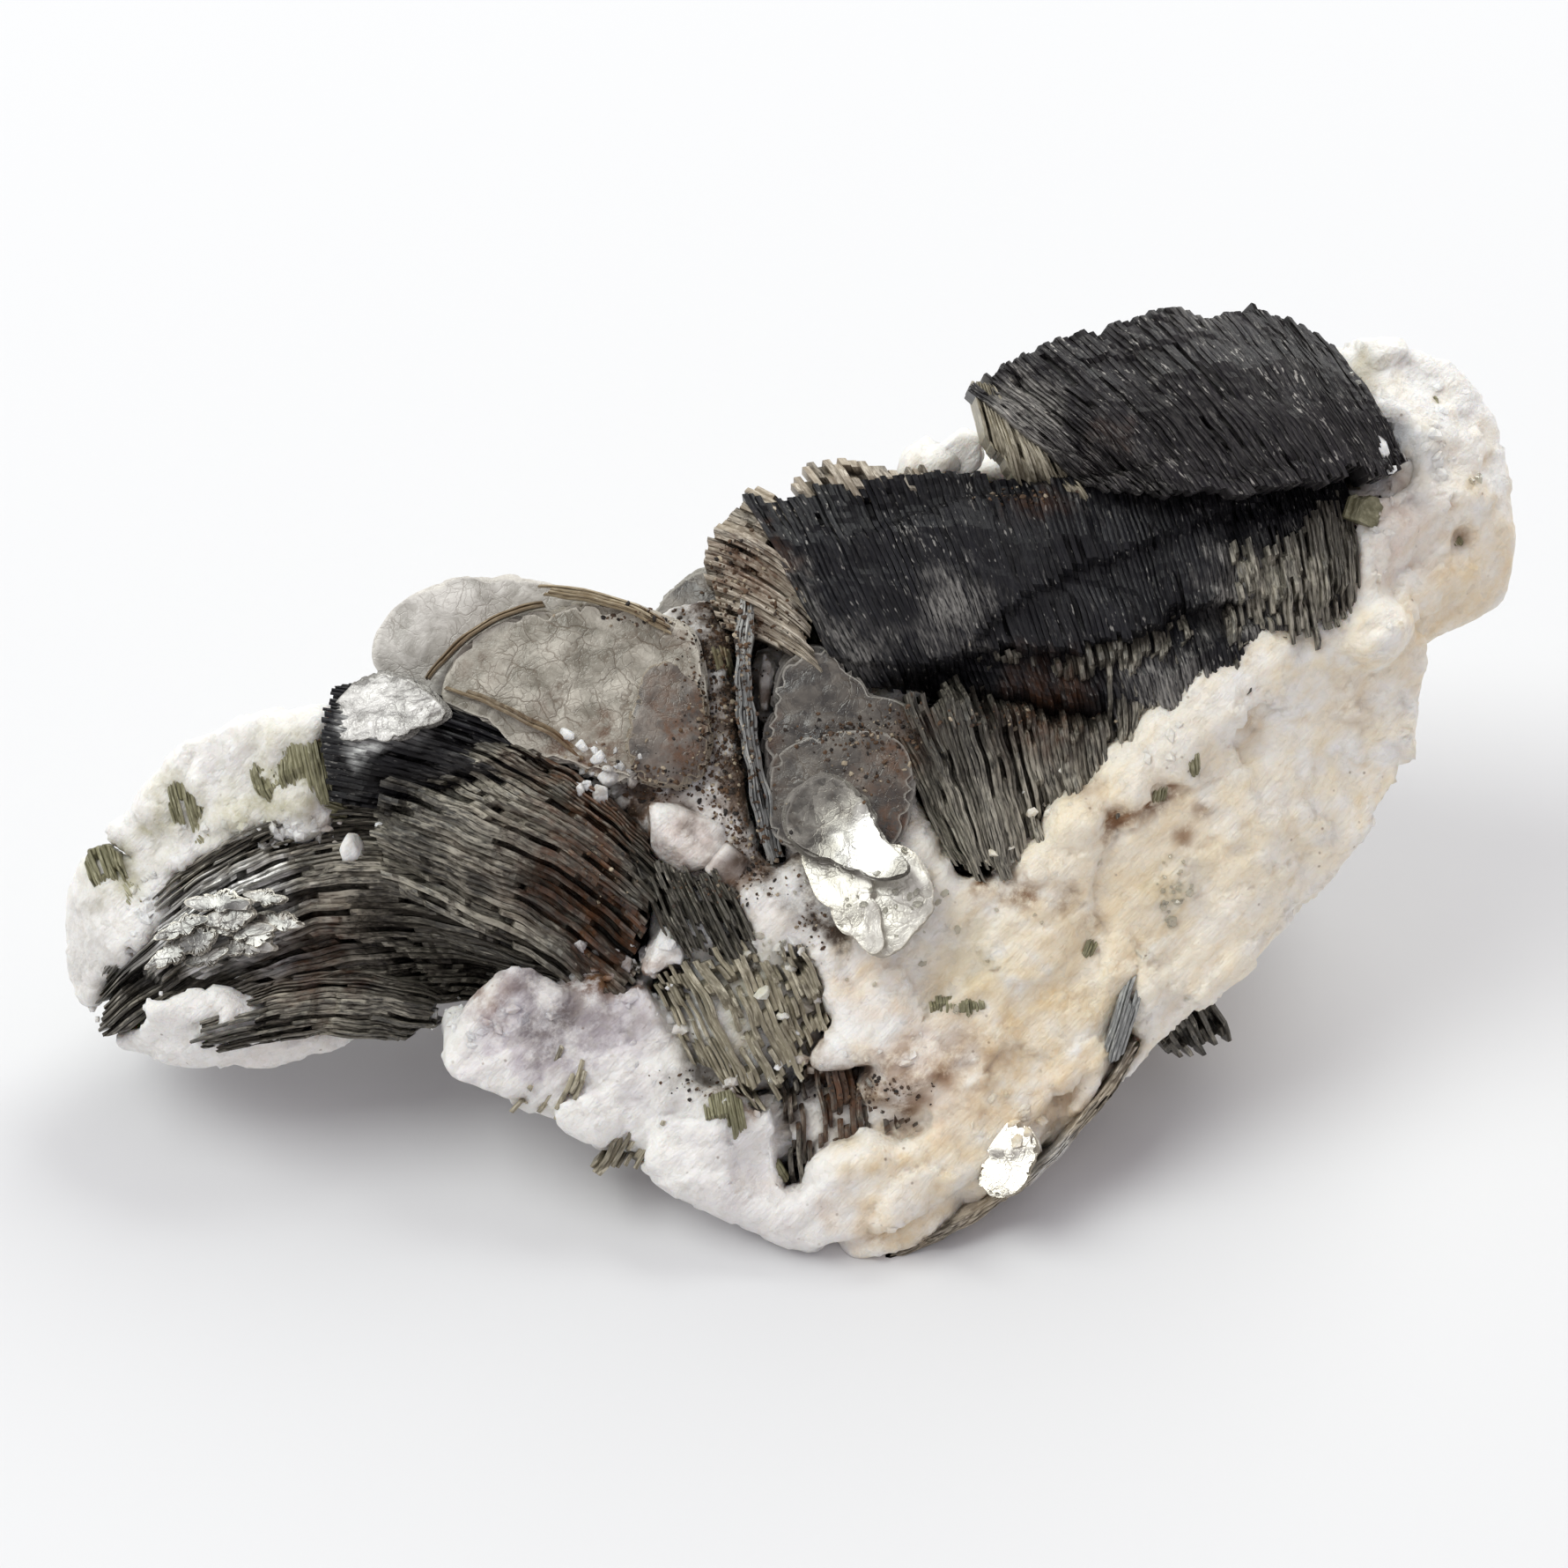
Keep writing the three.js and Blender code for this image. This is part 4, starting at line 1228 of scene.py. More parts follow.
class SheetStack:
    """Bends unit strips into a stack of frayed sheets."""

    SEGMENT = 0.36  # length of one piece of a sheet, in millimetres

    def __init__(self, stations: Sequence[Station], profile: Sequence[float], sheets: int, fray: Fray, seed: int) -> None:
        """Keeps the stack's form.

        Args:
            stations: Its stations, from the first sheet to the last.
            profile: How far the outer edge lies back, from a sheet's start to its end.
            sheets: Number of sheets.
            fray: How they are broken.
            seed: Start of the random draws.
        """
        self.stations = stations
        self.profile = profile
        self.sheets = sheets
        self.fray = fray
        self.seed = seed
        self.random = np.random.default_rng(seed)
        length = 2 * sum(s.half for s in stations) / len(stations)
        self.segments = max(6, round(length / self.SEGMENT))

    def add_to(self, bm: bmesh.types.BMesh, placing: Matrix, creased: bool = True) -> None:
        """Adds the whole stack to a shape.

        Args:
            bm: The shape. It has the layers that new_stack_mesh gives.
            placing: Carries the stack's frame to metres over the table.
            creased: Whether the creases of the broken face cross the stack.
        """
        template = strip_template(self.segments)
        corners = np.array([v.co for v in template.vertices]) + 0.5
        start = len(bm.verts)
        for _ in range(self.sheets):
            bm.from_mesh(template)
        bpy.data.meshes.remove(template)
        points, places, tone, proud_glint = self._bend(corners, creased)
        turn = np.array(placing)
        world = points @ turn[:3, :3].T + turn[:3, 3]
        bm.verts.ensure_lookup_table()
        place_layer = bm.verts.layers.float_vector["sheet_place"]
        tone_layer = bm.verts.layers.float["tone"]
        glint_layer = bm.verts.layers.float["proud_glint"]
        for number, (co, place, shade, glinting) in enumerate(zip(world.tolist(), places.tolist(), tone.tolist(), proud_glint.tolist())):
            vert = bm.verts[start + number]
            vert.co = co
            vert[place_layer] = place
            vert[tone_layer] = shade
            vert[glint_layer] = glinting

    def _bend(self, corners: np.ndarray, creased: bool) -> tuple[np.ndarray, np.ndarray, np.ndarray, np.ndarray]:
        """Works out where every corner of every strip goes.

        Args:
            corners: The unit strip's corners, from 0 to 1 along each axis.
            creased: Whether the creases of the broken face cross the stack.

        Returns:
            The points and the places on the sheets, both one a row, and the tone and painted glint of each.
        """
        rows = np.arange(self.sheets)[:, None]
        along, across, outer = corners[:, 0], corners[:, 1], corners[:, 2] > 0.5
        column = np.rint(along * self.segments).astype(int)
        edge = np.rint(across * 2).astype(int)
        share = (rows + 0.02 + 0.96 * across[None, :]) / self.sheets
        s = self._stations_at(share)
        start, end = self._ends()
        reach = s["half"] + self.fray.grow
        run = -(reach + start[:, None]) + (2 * reach + start[:, None] + end[:, None]) * along[None, :]
        tall, tone, proud_glint, loose = self._heights(creased)
        wave = self._waves(run, np.broadcast_to(rows, run.shape))
        lift = -s["sag"] * (run / s["half"]) ** 2 + wave
        turn = np.radians(s["angle"])
        x = s["x"] + run * np.cos(turn) - lift * np.sin(turn)
        y = s["y"] + run * np.sin(turn) + lift * np.cos(turn)
        bevel = self.fray.bevel * self.random.uniform(0.0, 1.6, (self.sheets, 3))
        bevel[:, 1] = 0
        front = tall[:, column] - bevel[:, edge] * loose[:, column]
        z = np.where(outer[None, :], front, np.minimum(s["back"], front - 0.8))
        spot = self.random.random((self.sheets, 1))
        places = np.stack([run + 5.0 * spot, share * self.sheets * 0.34, z], axis=-1)
        points = np.stack([x, y, z], axis=-1)
        return points.reshape(-1, 3), places.reshape(-1, 3), tone[:, column].ravel(), proud_glint[:, column].ravel()

    def _stations_at(self, share: np.ndarray) -> dict[str, np.ndarray]:
        """Reads the stations at places across the stack.

        Args:
            share: The places, from 0 to 1.

        Returns:
            Each of a station's numbers at every place.
        """
        at = np.linspace(0, 1, len(self.stations))
        return {n: np.interp(share, at, [getattr(s, n) for s in self.stations]) for n in Station.__dataclass_fields__}

    def _packets(self, mean: float) -> np.ndarray:
        """Returns the number of the packet that each sheet lies in.

        Args:
            mean: Mean number of sheets in a packet.

        Returns:
            A number for each sheet.
        """
        opens = self.random.random(self.sheets) < 1 / mean
        return np.cumsum(opens)

    def _ends(self) -> tuple[np.ndarray, np.ndarray]:
        """Returns how much longer each sheet is at its start and at its end."""
        packets = self._packets(self.fray.packet)
        ends = []
        for _ in range(2):
            shared = self.random.uniform(-1, 1, packets.max() + 1)[packets]
            own = self.random.uniform(-1, 1, self.sheets)
            ends.append(self.fray.ends * (0.6 * shared + 0.3 * own))
        return ends[0], ends[1]

    def _runs(self, count: int, mean: float, length: float) -> np.ndarray:
        """Breaks sheets into runs, each with a random number.

        Args:
            count: Number of sheets.
            mean: Mean length of a run.
            length: Length of a sheet.

        Returns:
            The number at each column of each sheet.
        """
        at = np.linspace(0, length, self.segments + 1)
        drawn = np.zeros((count, self.segments + 1))
        for row in range(count):
            cuts = np.cumsum(self.random.uniform(0.3, 1.7, int(length / mean * 2) + 3) * mean) - self.random.uniform(0, mean)
            values = self.random.random(len(cuts) + 1)
            drawn[row] = values[np.searchsorted(cuts, at)]
        return drawn

    def _heights(self, creased: bool) -> tuple[np.ndarray, np.ndarray, np.ndarray, np.ndarray]:
        """Works out how high the outer edge of each sheet stands, its tone, its painted glint and how frayed it is.

        Args:
            creased: Whether the creases of the broken face cross the stack.

        Returns:
            The heights, tones, painted glint and fray at each column of each sheet.
        """
        f = self.fray
        middle = (np.arange(self.sheets)[:, None] + 0.5) / self.sheets
        s = self._stations_at(np.broadcast_to(middle, (self.sheets, self.segments + 1)))
        along = np.linspace(0, 1, self.segments + 1)[None, :]
        length = 2 * float(np.mean(s["half"]))
        profile = np.interp(along, np.linspace(0, 1, len(self.profile)), self.profile)
        packets = self._packets(f.packet)
        slabs = self._packets(4 * f.packet)
        shared = self._runs(packets.max() + 1, 2.2 * f.run, length)[packets]
        broad = self._runs(slabs.max() + 1, 4 * f.run, length)[slabs]
        own = self._runs(self.sheets, f.run, length)
        lost = self._runs(self.sheets, f.run, length) < f.missing
        run = -s["half"] + 2 * s["half"] * along
        turn = np.radians(s["angle"])
        x = s["x"] + run * np.cos(turn)
        y = s["y"] + run * np.sin(turn) - s["sag"] * (run / s["half"]) ** 2
        loose = 1 - 0.8 * calm_at(x, y)
        fallen = f.packet_step * shared + f.slab_step * (broad - 0.4) + f.step * own + f.gap * lost * (0.5 + own)
        heights = s["front"] + profile - loose * fallen
        if creased:
            heights = heights - fall_at(x, y)
        flat = np.stack([x, y, np.zeros_like(x)], axis=-1).reshape(-1, 3)
        heights = heights + 0.35 * noise_over(flat, 3.2, self.seed * 0.31).reshape(x.shape)
        heights = heights + f.grain * self.random.uniform(-1, 1, x.shape)
        padded = np.pad(heights, 2, mode="edge")
        around = np.mean([padded[2 + i : 2 + i + x.shape[0], 2 + j : 2 + j + x.shape[1]] for i in (-2, -1, 0, 1, 2) for j in (-2, 0, 2)], axis=0)
        # Painted glint: edges that stand proud of their neighbours take more pale flecks, sunk edges fewer.
        proud_glint = np.clip(0.25 + (heights - around) / 0.35, 0, 1)
        tone = np.clip(0.4 * own + 0.3 * shared + 0.2 * (1 - broad) + 0.3 * self.random.random((self.sheets, 1)) - 0.1, 0, 1)
        # Painted shade: lost runs, which lie back, take a much darker tone.
        tone = np.where(lost, 0.2 * tone, tone)
        return heights, tone, proud_glint, loose

    def _waves(self, run: np.ndarray, rows: np.ndarray) -> np.ndarray:
        """Returns how far the sheets wave sideways.

        Args:
            run: Places along the sheets.
            rows: The numbers of the sheets.

        Returns:
            The sideways shift at each place.
        """
        seed = np.full_like(run, self.seed * 1.7)
        slow = noise_over(np.stack([run / 6.0, rows * 0.05, seed], axis=-1).reshape(-1, 3), 1.0, 0.0)
        quick = noise_over(np.stack([run / 1.8, rows * 0.2, seed], axis=-1).reshape(-1, 3), 1.0, 7.0)
        return self.fray.wave * (slow + 0.6 * quick).reshape(run.shape)


def new_stack_mesh() -> bmesh.types.BMesh:
    """Starts a shape that sheet stacks can be added to.

    Returns:
        An empty bmesh with the layers that the stacks fill.
    """
    bm = bmesh.new()
    bm.verts.layers.float_vector.new("sheet_place")
    bm.verts.layers.float.new("tone")
    bm.verts.layers.float.new("proud_glint")
    return bm


@dataclass
class MicaBook:
    """A book of mica sheets seen edge-on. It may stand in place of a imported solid."""

    node: str | None
    slot: str
    stations: tuple[Station, ...]
    profile: tuple[float, ...]
    sheets: int
    fray: Fray
    seed: int
    finish: Finish
    name: str = ""

    def build(self) -> bpy.types.Object:
        """Builds and dresses the book.

        Returns:
            The finished piece.
        """
        bm = new_stack_mesh()
        SheetStack(self.stations, self.profile, self.sheets, self.fray, self.seed).add_to(bm, ON_FACE)
        for vert in bm.verts:
            vert.co.z = max(vert.co.z, 0.0)
        piece = new_piece(self.name or f"{self.node}_sheets", bm)
        tint(piece.data, MICA_TINTS)
        self.finish.dress(piece, self.slot)
        if self.node is not None:
            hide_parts(self.node)
        return piece


FINE = Fray(run=1.3, step=0.22, packet_step=0.5, slab_step=1.1, packet=5, missing=0.04, gap=0.45, ends=0.6, wave=0.2)
SHAGGY = Fray(run=2.6, step=0.45, packet_step=0.8, slab_step=0.7, packet=3, missing=0.22, gap=1.2, ends=0.9, wave=0.3, bevel=0.12)
SMALL = Fray(run=1.2, step=0.4, packet_step=0.9, slab_step=0.9, packet=3, missing=0.22, gap=1.4, ends=2.0, wave=0.4, grow=0.5)
TUFTS = Fray(run=2.0, step=0.5, packet_step=0.9, slab_step=1.2, packet=3, missing=0.16, gap=0.9, ends=2.0, wave=0.3, grow=1.0)


def book_list(dark: Finish, purple: Finish, brown: Finish, grey: Finish, plate: Finish, fan: Finish, stained: Finish) -> list[MicaBook]:
    """Lists the specimen's books.

    Args:
        dark: The finish of the near-black books.
        purple: The finish of the uppermost book.
        brown: The finish of the brown-grey books on the left.
        grey: The finish of the grey-green books.
        plate: The finish of the thin plates that stand on edge.
        fan: The finish of the pale fanned book.
        stained: The finish of the pale stained sheets.

    Returns:
        The books, each with its sizes.
    """
    s = Station
    return [
        MicaBook(
            "cap_book", "dark_mica",
            (
                s(16.2, 22.7, -40, 4.7, 0, 11, 4),
                s(20.8, 23.4, -47, 6.3, 0, 13.5, 3),
                s(27.6, 25.0, -51, 7.0, 0, 14.5, 2),
                s(34.0, 25.7, -57, 6.3, 0, 14, 2),
                s(38.5, 25.0, -62, 4.5, 0, 12, 3),
            ),
            (-3, -0.6, 0.3, -0.9), 76,
            Fray(run=1.5, step=0.34, packet_step=0.7, slab_step=1.2, packet=5, missing=0.08, gap=0.6, ends=0.9, wave=0.22, grow=0.2), 11, purple,
        ),
        MicaBook(
            "upper_book", "dark_mica",
            (
                s(0.6, 13.0, -62, 6.4, 0, 9.7, -2),
                s(12.1, 12.9, -70, 7.5, 0, 11.5, -3),
                s(23.7, 11.6, -75, 8.7, 0, 11.5, -3),
                s(32.4, 14.3, -78, 5.8, 0, 10.5, -2),
                s(38.0, 16.0, -80, 4.4, 0, 9.5, 0),
            ),
            (-2.5, -0.2, 0, -0.6, -1.8), 122, FINE, 23, dark,
        ),
        MicaBook(
            "fan_book", "grey_mica",
            (
                s(-0.6, 9.2, -28, 3.0, 0.3, 9, 1),
                s(-1.6, 12.5, -30, 3.4, 0.4, 10, 0),
                s(-1.2, 15.5, -34, 3.4, 0.4, 9.5, 0),
                s(0.4, 18.6, -42, 2.4, 0.3, 8, 0),
            ),
            (-2, -0.5, 0, 0.2), 30, Fray(run=2.2, step=0.4, packet_step=0.6, packet=3, missing=0.15, gap=0.9, ends=0.9), 31, fan,
        ),
        MicaBook(
            None, "dark_mica",
            (s(12.9, 24.8, -76, 1.6, 0, 9.0, 3), s(14.6, 23.2, -70, 3.0, 0, 9.8, 3), s(17.2, 21.2, -62, 2.6, 0, 10.2, 3), s(19.6, 19.8, -58, 1.6, 0, 10.2, 3)),
            (-0.8, 0, 0, -0.8), 20, Fray(run=1.6, step=0.3, packet_step=0.5, packet=3, missing=0.12, gap=0.7, ends=0.9), 37, grey, "cap_flank_book",
        ),
        MicaBook(
            None, "dark_mica",
            (s(1.0, 19.4, -50, 1.0, 0, 8.0, 2), s(4.4, 19.8, -56, 1.1, 0, 8.4, 2), s(8.6, 19.6, -60, 1.2, 0, 8.6, 2), s(10.6, 19.8, -60, 0.7, 0, 8.2, 2)),
            (-0.4, 0, 0, -0.2), 22, Fray(run=1.2, step=0.4, packet_step=0.7, slab_step=0.7, packet=3, missing=0.3, gap=1.2, ends=1.3), 39, fan, "crown_sheets",
        ),
        MicaBook(
            "fringe_book", "grey_mica",
            (
                s(9.2, -1.2, -62, 4.5, 0, 9.8, 1),
                s(12.6, -0.4, -74, 5.6, 0, 10.6, 1),
                s(16.8, 2.0, -78, 5.2, 0, 10.4, 1),
                s(21.4, 4.8, -84, 4.4, 0, 10.8, 1),
                s(25.6, 7.4, -88, 3.2, 0, 11.0, 1),
                s(30.4, 10.2, -88, 2.2, 0, 10.6, 1),
            ),
            (0.2, 0, -0.2), 76, TUFTS, 47, brown,
        ),
        MicaBook(
            "left_upper_book", "dark_mica",
            (
                s(-18.7, -10.5, -30, 7.4, 0.8, 8.5, -1),
                s(-18.1, -7.0, -28, 9.2, 1.0, 10.5, -1),
                s(-17.0, -3.5, -28, 9.6, 1.0, 11, -1),
                s(-14.6, -1.2, -33, 7.6, 0.8, 10, 0),
                s(-13.3, 0.3, -36, 5.6, 0.6, 9, 0),
            ),
            (-1.2, 0.3, 0.3, -0.8), 34, SHAGGY, 53, brown,
        ),
        MicaBook(
            "left_top_book", "dark_mica",
            (
                s(-27.2, -1.6, -8, 2.6, 0, 7.5, 0),
                s(-25.4, 0.8, -14, 4.6, 0.2, 9, 0),
                s(-22.8, 2.9, -18, 7.3, 0.5, 9.5, 0),
                s(-23.6, 5.2, -16, 6.2, 0.5, 8, 0),
                s(-26.0, 6.6, -10, 2.8, 0.2, 6, 1),
            ),
            (-1, 0.2, 0, -0.8), 30, Fray(run=1.8, step=0.3, packet_step=0.5, missing=0.1, ends=0.5), 61, dark,
        ),
        MicaBook(
            "left_lower_book", "dark_mica",
            (
                s(-26.6, -14.8, 0, 9.4, 0.8, 5.5, -1),
                s(-26.2, -12.4, 2, 12.2, 2.0, 6.5, -2),
                s(-28.5, -9.4, 3, 16.8, 6.2, 7.5, -2),
                s(-28.9, -5.8, 3, 17.2, 7.6, 7.5, -2),
                s(-29.6, -3.0, 4, 16.2, 8.4, 6.9, -2),
                s(-29.8, -1.5, 4, 15.4, 7.2, 6.6, -2),
            ),
            (-1.6, 0.2, 0.4, 0, -1.2), 42, SHAGGY, 71, brown,
        ),
        MicaBook(
            None, "dark_mica",
            (
                s(-31.4, -16.9, 2, 5.6, 0.6, 8.2, 2),
                s(-31.5, -15.6, 3, 7.0, 0.9, 8.8, 2),
                s(-31.2, -13.8, 3, 7.4, 1.2, 8.6, 2),
                s(-31.0, -12.6, 4, 6.4, 1.4, 7.4, 2),
            ),
            (-0.4, 0.2, 0.2, -0.8), 16, SHAGGY, 73, brown, "left_lower_front_packet",
        ),
        MicaBook(
            "inner_book", "grey_mica",
            (
                s(-8.6, -8.4, -66, 2.2, 0, 9.4, 2),
                s(-6.4, -8.9, -66, 3.3, 0, 10.2, 2),
                s(-4.0, -9.4, -64, 3.4, 0, 10.2, 2),
                s(-1.8, -9.2, -62, 2.4, 0, 9.4, 2),
            ),
            (-0.6, 0.1, -0.5), 26, Fray(run=1.4, step=0.5, packet_step=1.0, slab_step=1.3, packet=3, missing=0.2, gap=1.2, ends=1.8), 83, brown,
        ),
        MicaBook(
            "green_book", "grey_mica",
            (
                s(-7.2, -16.2, -60, 3.0, 0, 9.6, 2),
                s(-4.0, -16.6, -62, 4.4, 0, 10.2, 2),
                s(-0.6, -14.8, -64, 3.6, 0, 10.3, 2),
                s(2.4, -13.2, -66, 1.8, 0, 10, 2),
            ),
            (-0.4, 0.1, -0.4), 32, SMALL, 97, grey,
        ),
        MicaBook(
            "lower_book", "grey_mica",
            (
                s(0.2, -23.8, -84, 2.2, 0, 9.8, 3),
                s(2.8, -22.4, -82, 2.8, 0, 10.2, 3),
                s(6.0, -21.4, -80, 2.2, 0, 10, 3),
                s(9.0, -20.6, -80, 1.2, 0, 9.6, 4),
            ),
            (-0.6, 0, -0.8), 24,
            Fray(run=0.9, step=0.5, packet_step=1.3, slab_step=1.6, packet=4, missing=0.3, gap=1.2, ends=1.8, wave=0.5, grow=0.4), 101, brown,
        ),
        MicaBook(
            "edge_book_left", "grey_mica",
            (s(-16.6, -19.4, -118, 2.2, 0.2, 9.9, 4), s(-13.9, -20.8, -116, 2.2, 0.2, 10.1, 4)),
            (-0.5, 0, -0.5), 9, SMALL, 103, grey,
        ),
        MicaBook(
            "edge_book_middle", "grey_mica",
            (s(-11.0, -22.4, -114, 1.6, 0.1, 9.9, 4), s(-8.4, -23.5, -112, 1.9, 0.1, 10.2, 4)),
            (-0.5, 0, -0.5), 9, SMALL, 107, grey,
        ),
        MicaBook(
            "nub_book", "dark_mica",
            (s(25.6, -17.6, -50, 1.4, 0, 5, -1), s(29.2, -14.6, -56, 2.4, 0.2, 4.4, -1)),
            (-1, 0, -1), 13, SMALL, 109, brown,
        ),
        MicaBook(
            None, "dark_mica",
            (
                s(29.8, 12.4, -80, 2.0, 0, 11.4, 7),
                s(32.8, 13.2, -81, 3.2, 0, 11.6, 7),
                s(35.6, 14.4, -82, 3.4, 0, 11.0, 7),
                s(37.8, 15.2, -84, 2.6, 0, 10.2, 6),
            ),
            (-1.0, 0.1, -0.8), 34, Fray(run=1.4, step=0.45, packet_step=0.9, slab_step=1.1, packet=4, missing=0.25, gap=1.1, ends=1.6), 87, brown,
            "upper_right_packet",
        ),
        MicaBook(
            "edge_plate", "pale_mica",
            (s(-3.0, 3.6, -84, 8.4, -0.9, 10.5, 2), s(-1.8, 3.6, -84, 8.2, -0.9, 10.0, 2)),
            (-1.5, 0.3, 0.6, 0, -1.2), 6, Fray(run=4.0, step=0.3, packet_step=0.3, packet=2, missing=0.08, ends=0.4, wave=0.35), 113, plate,
        ),
        MicaBook(
            "rim_plate", "dark_mica",
            (
                s(16.7, -26.2, 41, 9.8, -1.7, 8.0, 1),
                s(16.5, -25.9, 41, 10.8, -1.8, 8.6, 1),
                s(16.2, -25.6, 41, 9.8, -1.7, 8.6, 1),
            ),
            (-0.6, 0.1, -0.3, 0.2, 0, 0.1, -0.6), 5,
            Fray(run=1.0, step=0.4, packet_step=0.2, slab_step=0.2, packet=2, missing=0.1, grain=0.12, wave=0.25), 127, fan,
        ),
        MicaBook(
            None, "dark_mica",
            (s(21.8, -15.2, 74, 1.5, 0, 9.2, 4), s(22.4, -15.5, 74, 2.5, 0, 9.5, 4), s(23.1, -15.8, 74, 1.6, 0, 9.0, 4)),
            (-0.5, 0, 0, -0.4), 6, Fray(run=1.4, step=0.15, packet_step=0.15, slab_step=0.1, missing=0.04, ends=0.3), 129, plate, "rim_lens",
        ),
        MicaBook(
            None, "dark_mica",
            (s(4.6, -31.6, -60, 0.6, 0, 6.6, 2), s(6.0, -31.9, -62, 0.8, 0, 6.8, 2), s(7.4, -31.6, -60, 0.5, 0, 6.8, 2)),
            (-0.2, 0, -0.2), 8, Fray(run=0.8, step=0.3, packet_step=0.3, slab_step=0.2, ends=0.6), 133, grey, "tip_sheets",
        ),
    ]


# --- mica plates ----------------------------------------------------------------------------------


@dataclass(frozen=True)
class PlateLayer:
    """A pile of sheets with one outline: how high its middle stands, how it tilts along x and y, how thick
    it is, how many sheets it has, how far its rim falls, and how much it is crumpled and folded."""

    outline: tuple[tuple[float, float], ...]
    height: float
    slope_x: float
    slope_y: float
    thickness: float
    sheets: int = 5
    dome: float = 0.0
    spread: float = 0.35
    crumple: float = 0.0
    chip: float = 0.4
    fold: float = 0.0


def flake(x: float, y: float, half_x: float, half_y: float, turn: float, height: float, seed: int) -> PlateLayer:
    """Draws a small ragged flake that faces the light.

    Args:
        x: Its middle, in face millimetres.
        y: Its middle.
        half_x: Half its length.
        half_y: Half its width.
        turn: The angle of its length, in degrees.
        height: How high it stands.
        seed: Start of its random draws.

    Returns:
        The flake as a layer of a pile.
    """
    draws = random.Random(seed)
    outline = []
    for step in range(11):
        way = math.tau * step / 11
        reach = draws.uniform(0.72, 1.15)
        along, across = half_x * reach * math.cos(way), half_y * reach * math.sin(way)
        c, s = math.cos(math.radians(turn)), math.sin(math.radians(turn))
        outline.append((x + along * c - across * s, y + along * s + across * c))
    slope_x, slope_y = 0.36 + draws.uniform(-0.16, 0.16), -0.34 + draws.uniform(-0.18, 0.18)
    return PlateLayer(tuple(outline), height, slope_x, slope_y, 0.9, 4, 0.1, 0.2, chip=0.3, fold=0.14)


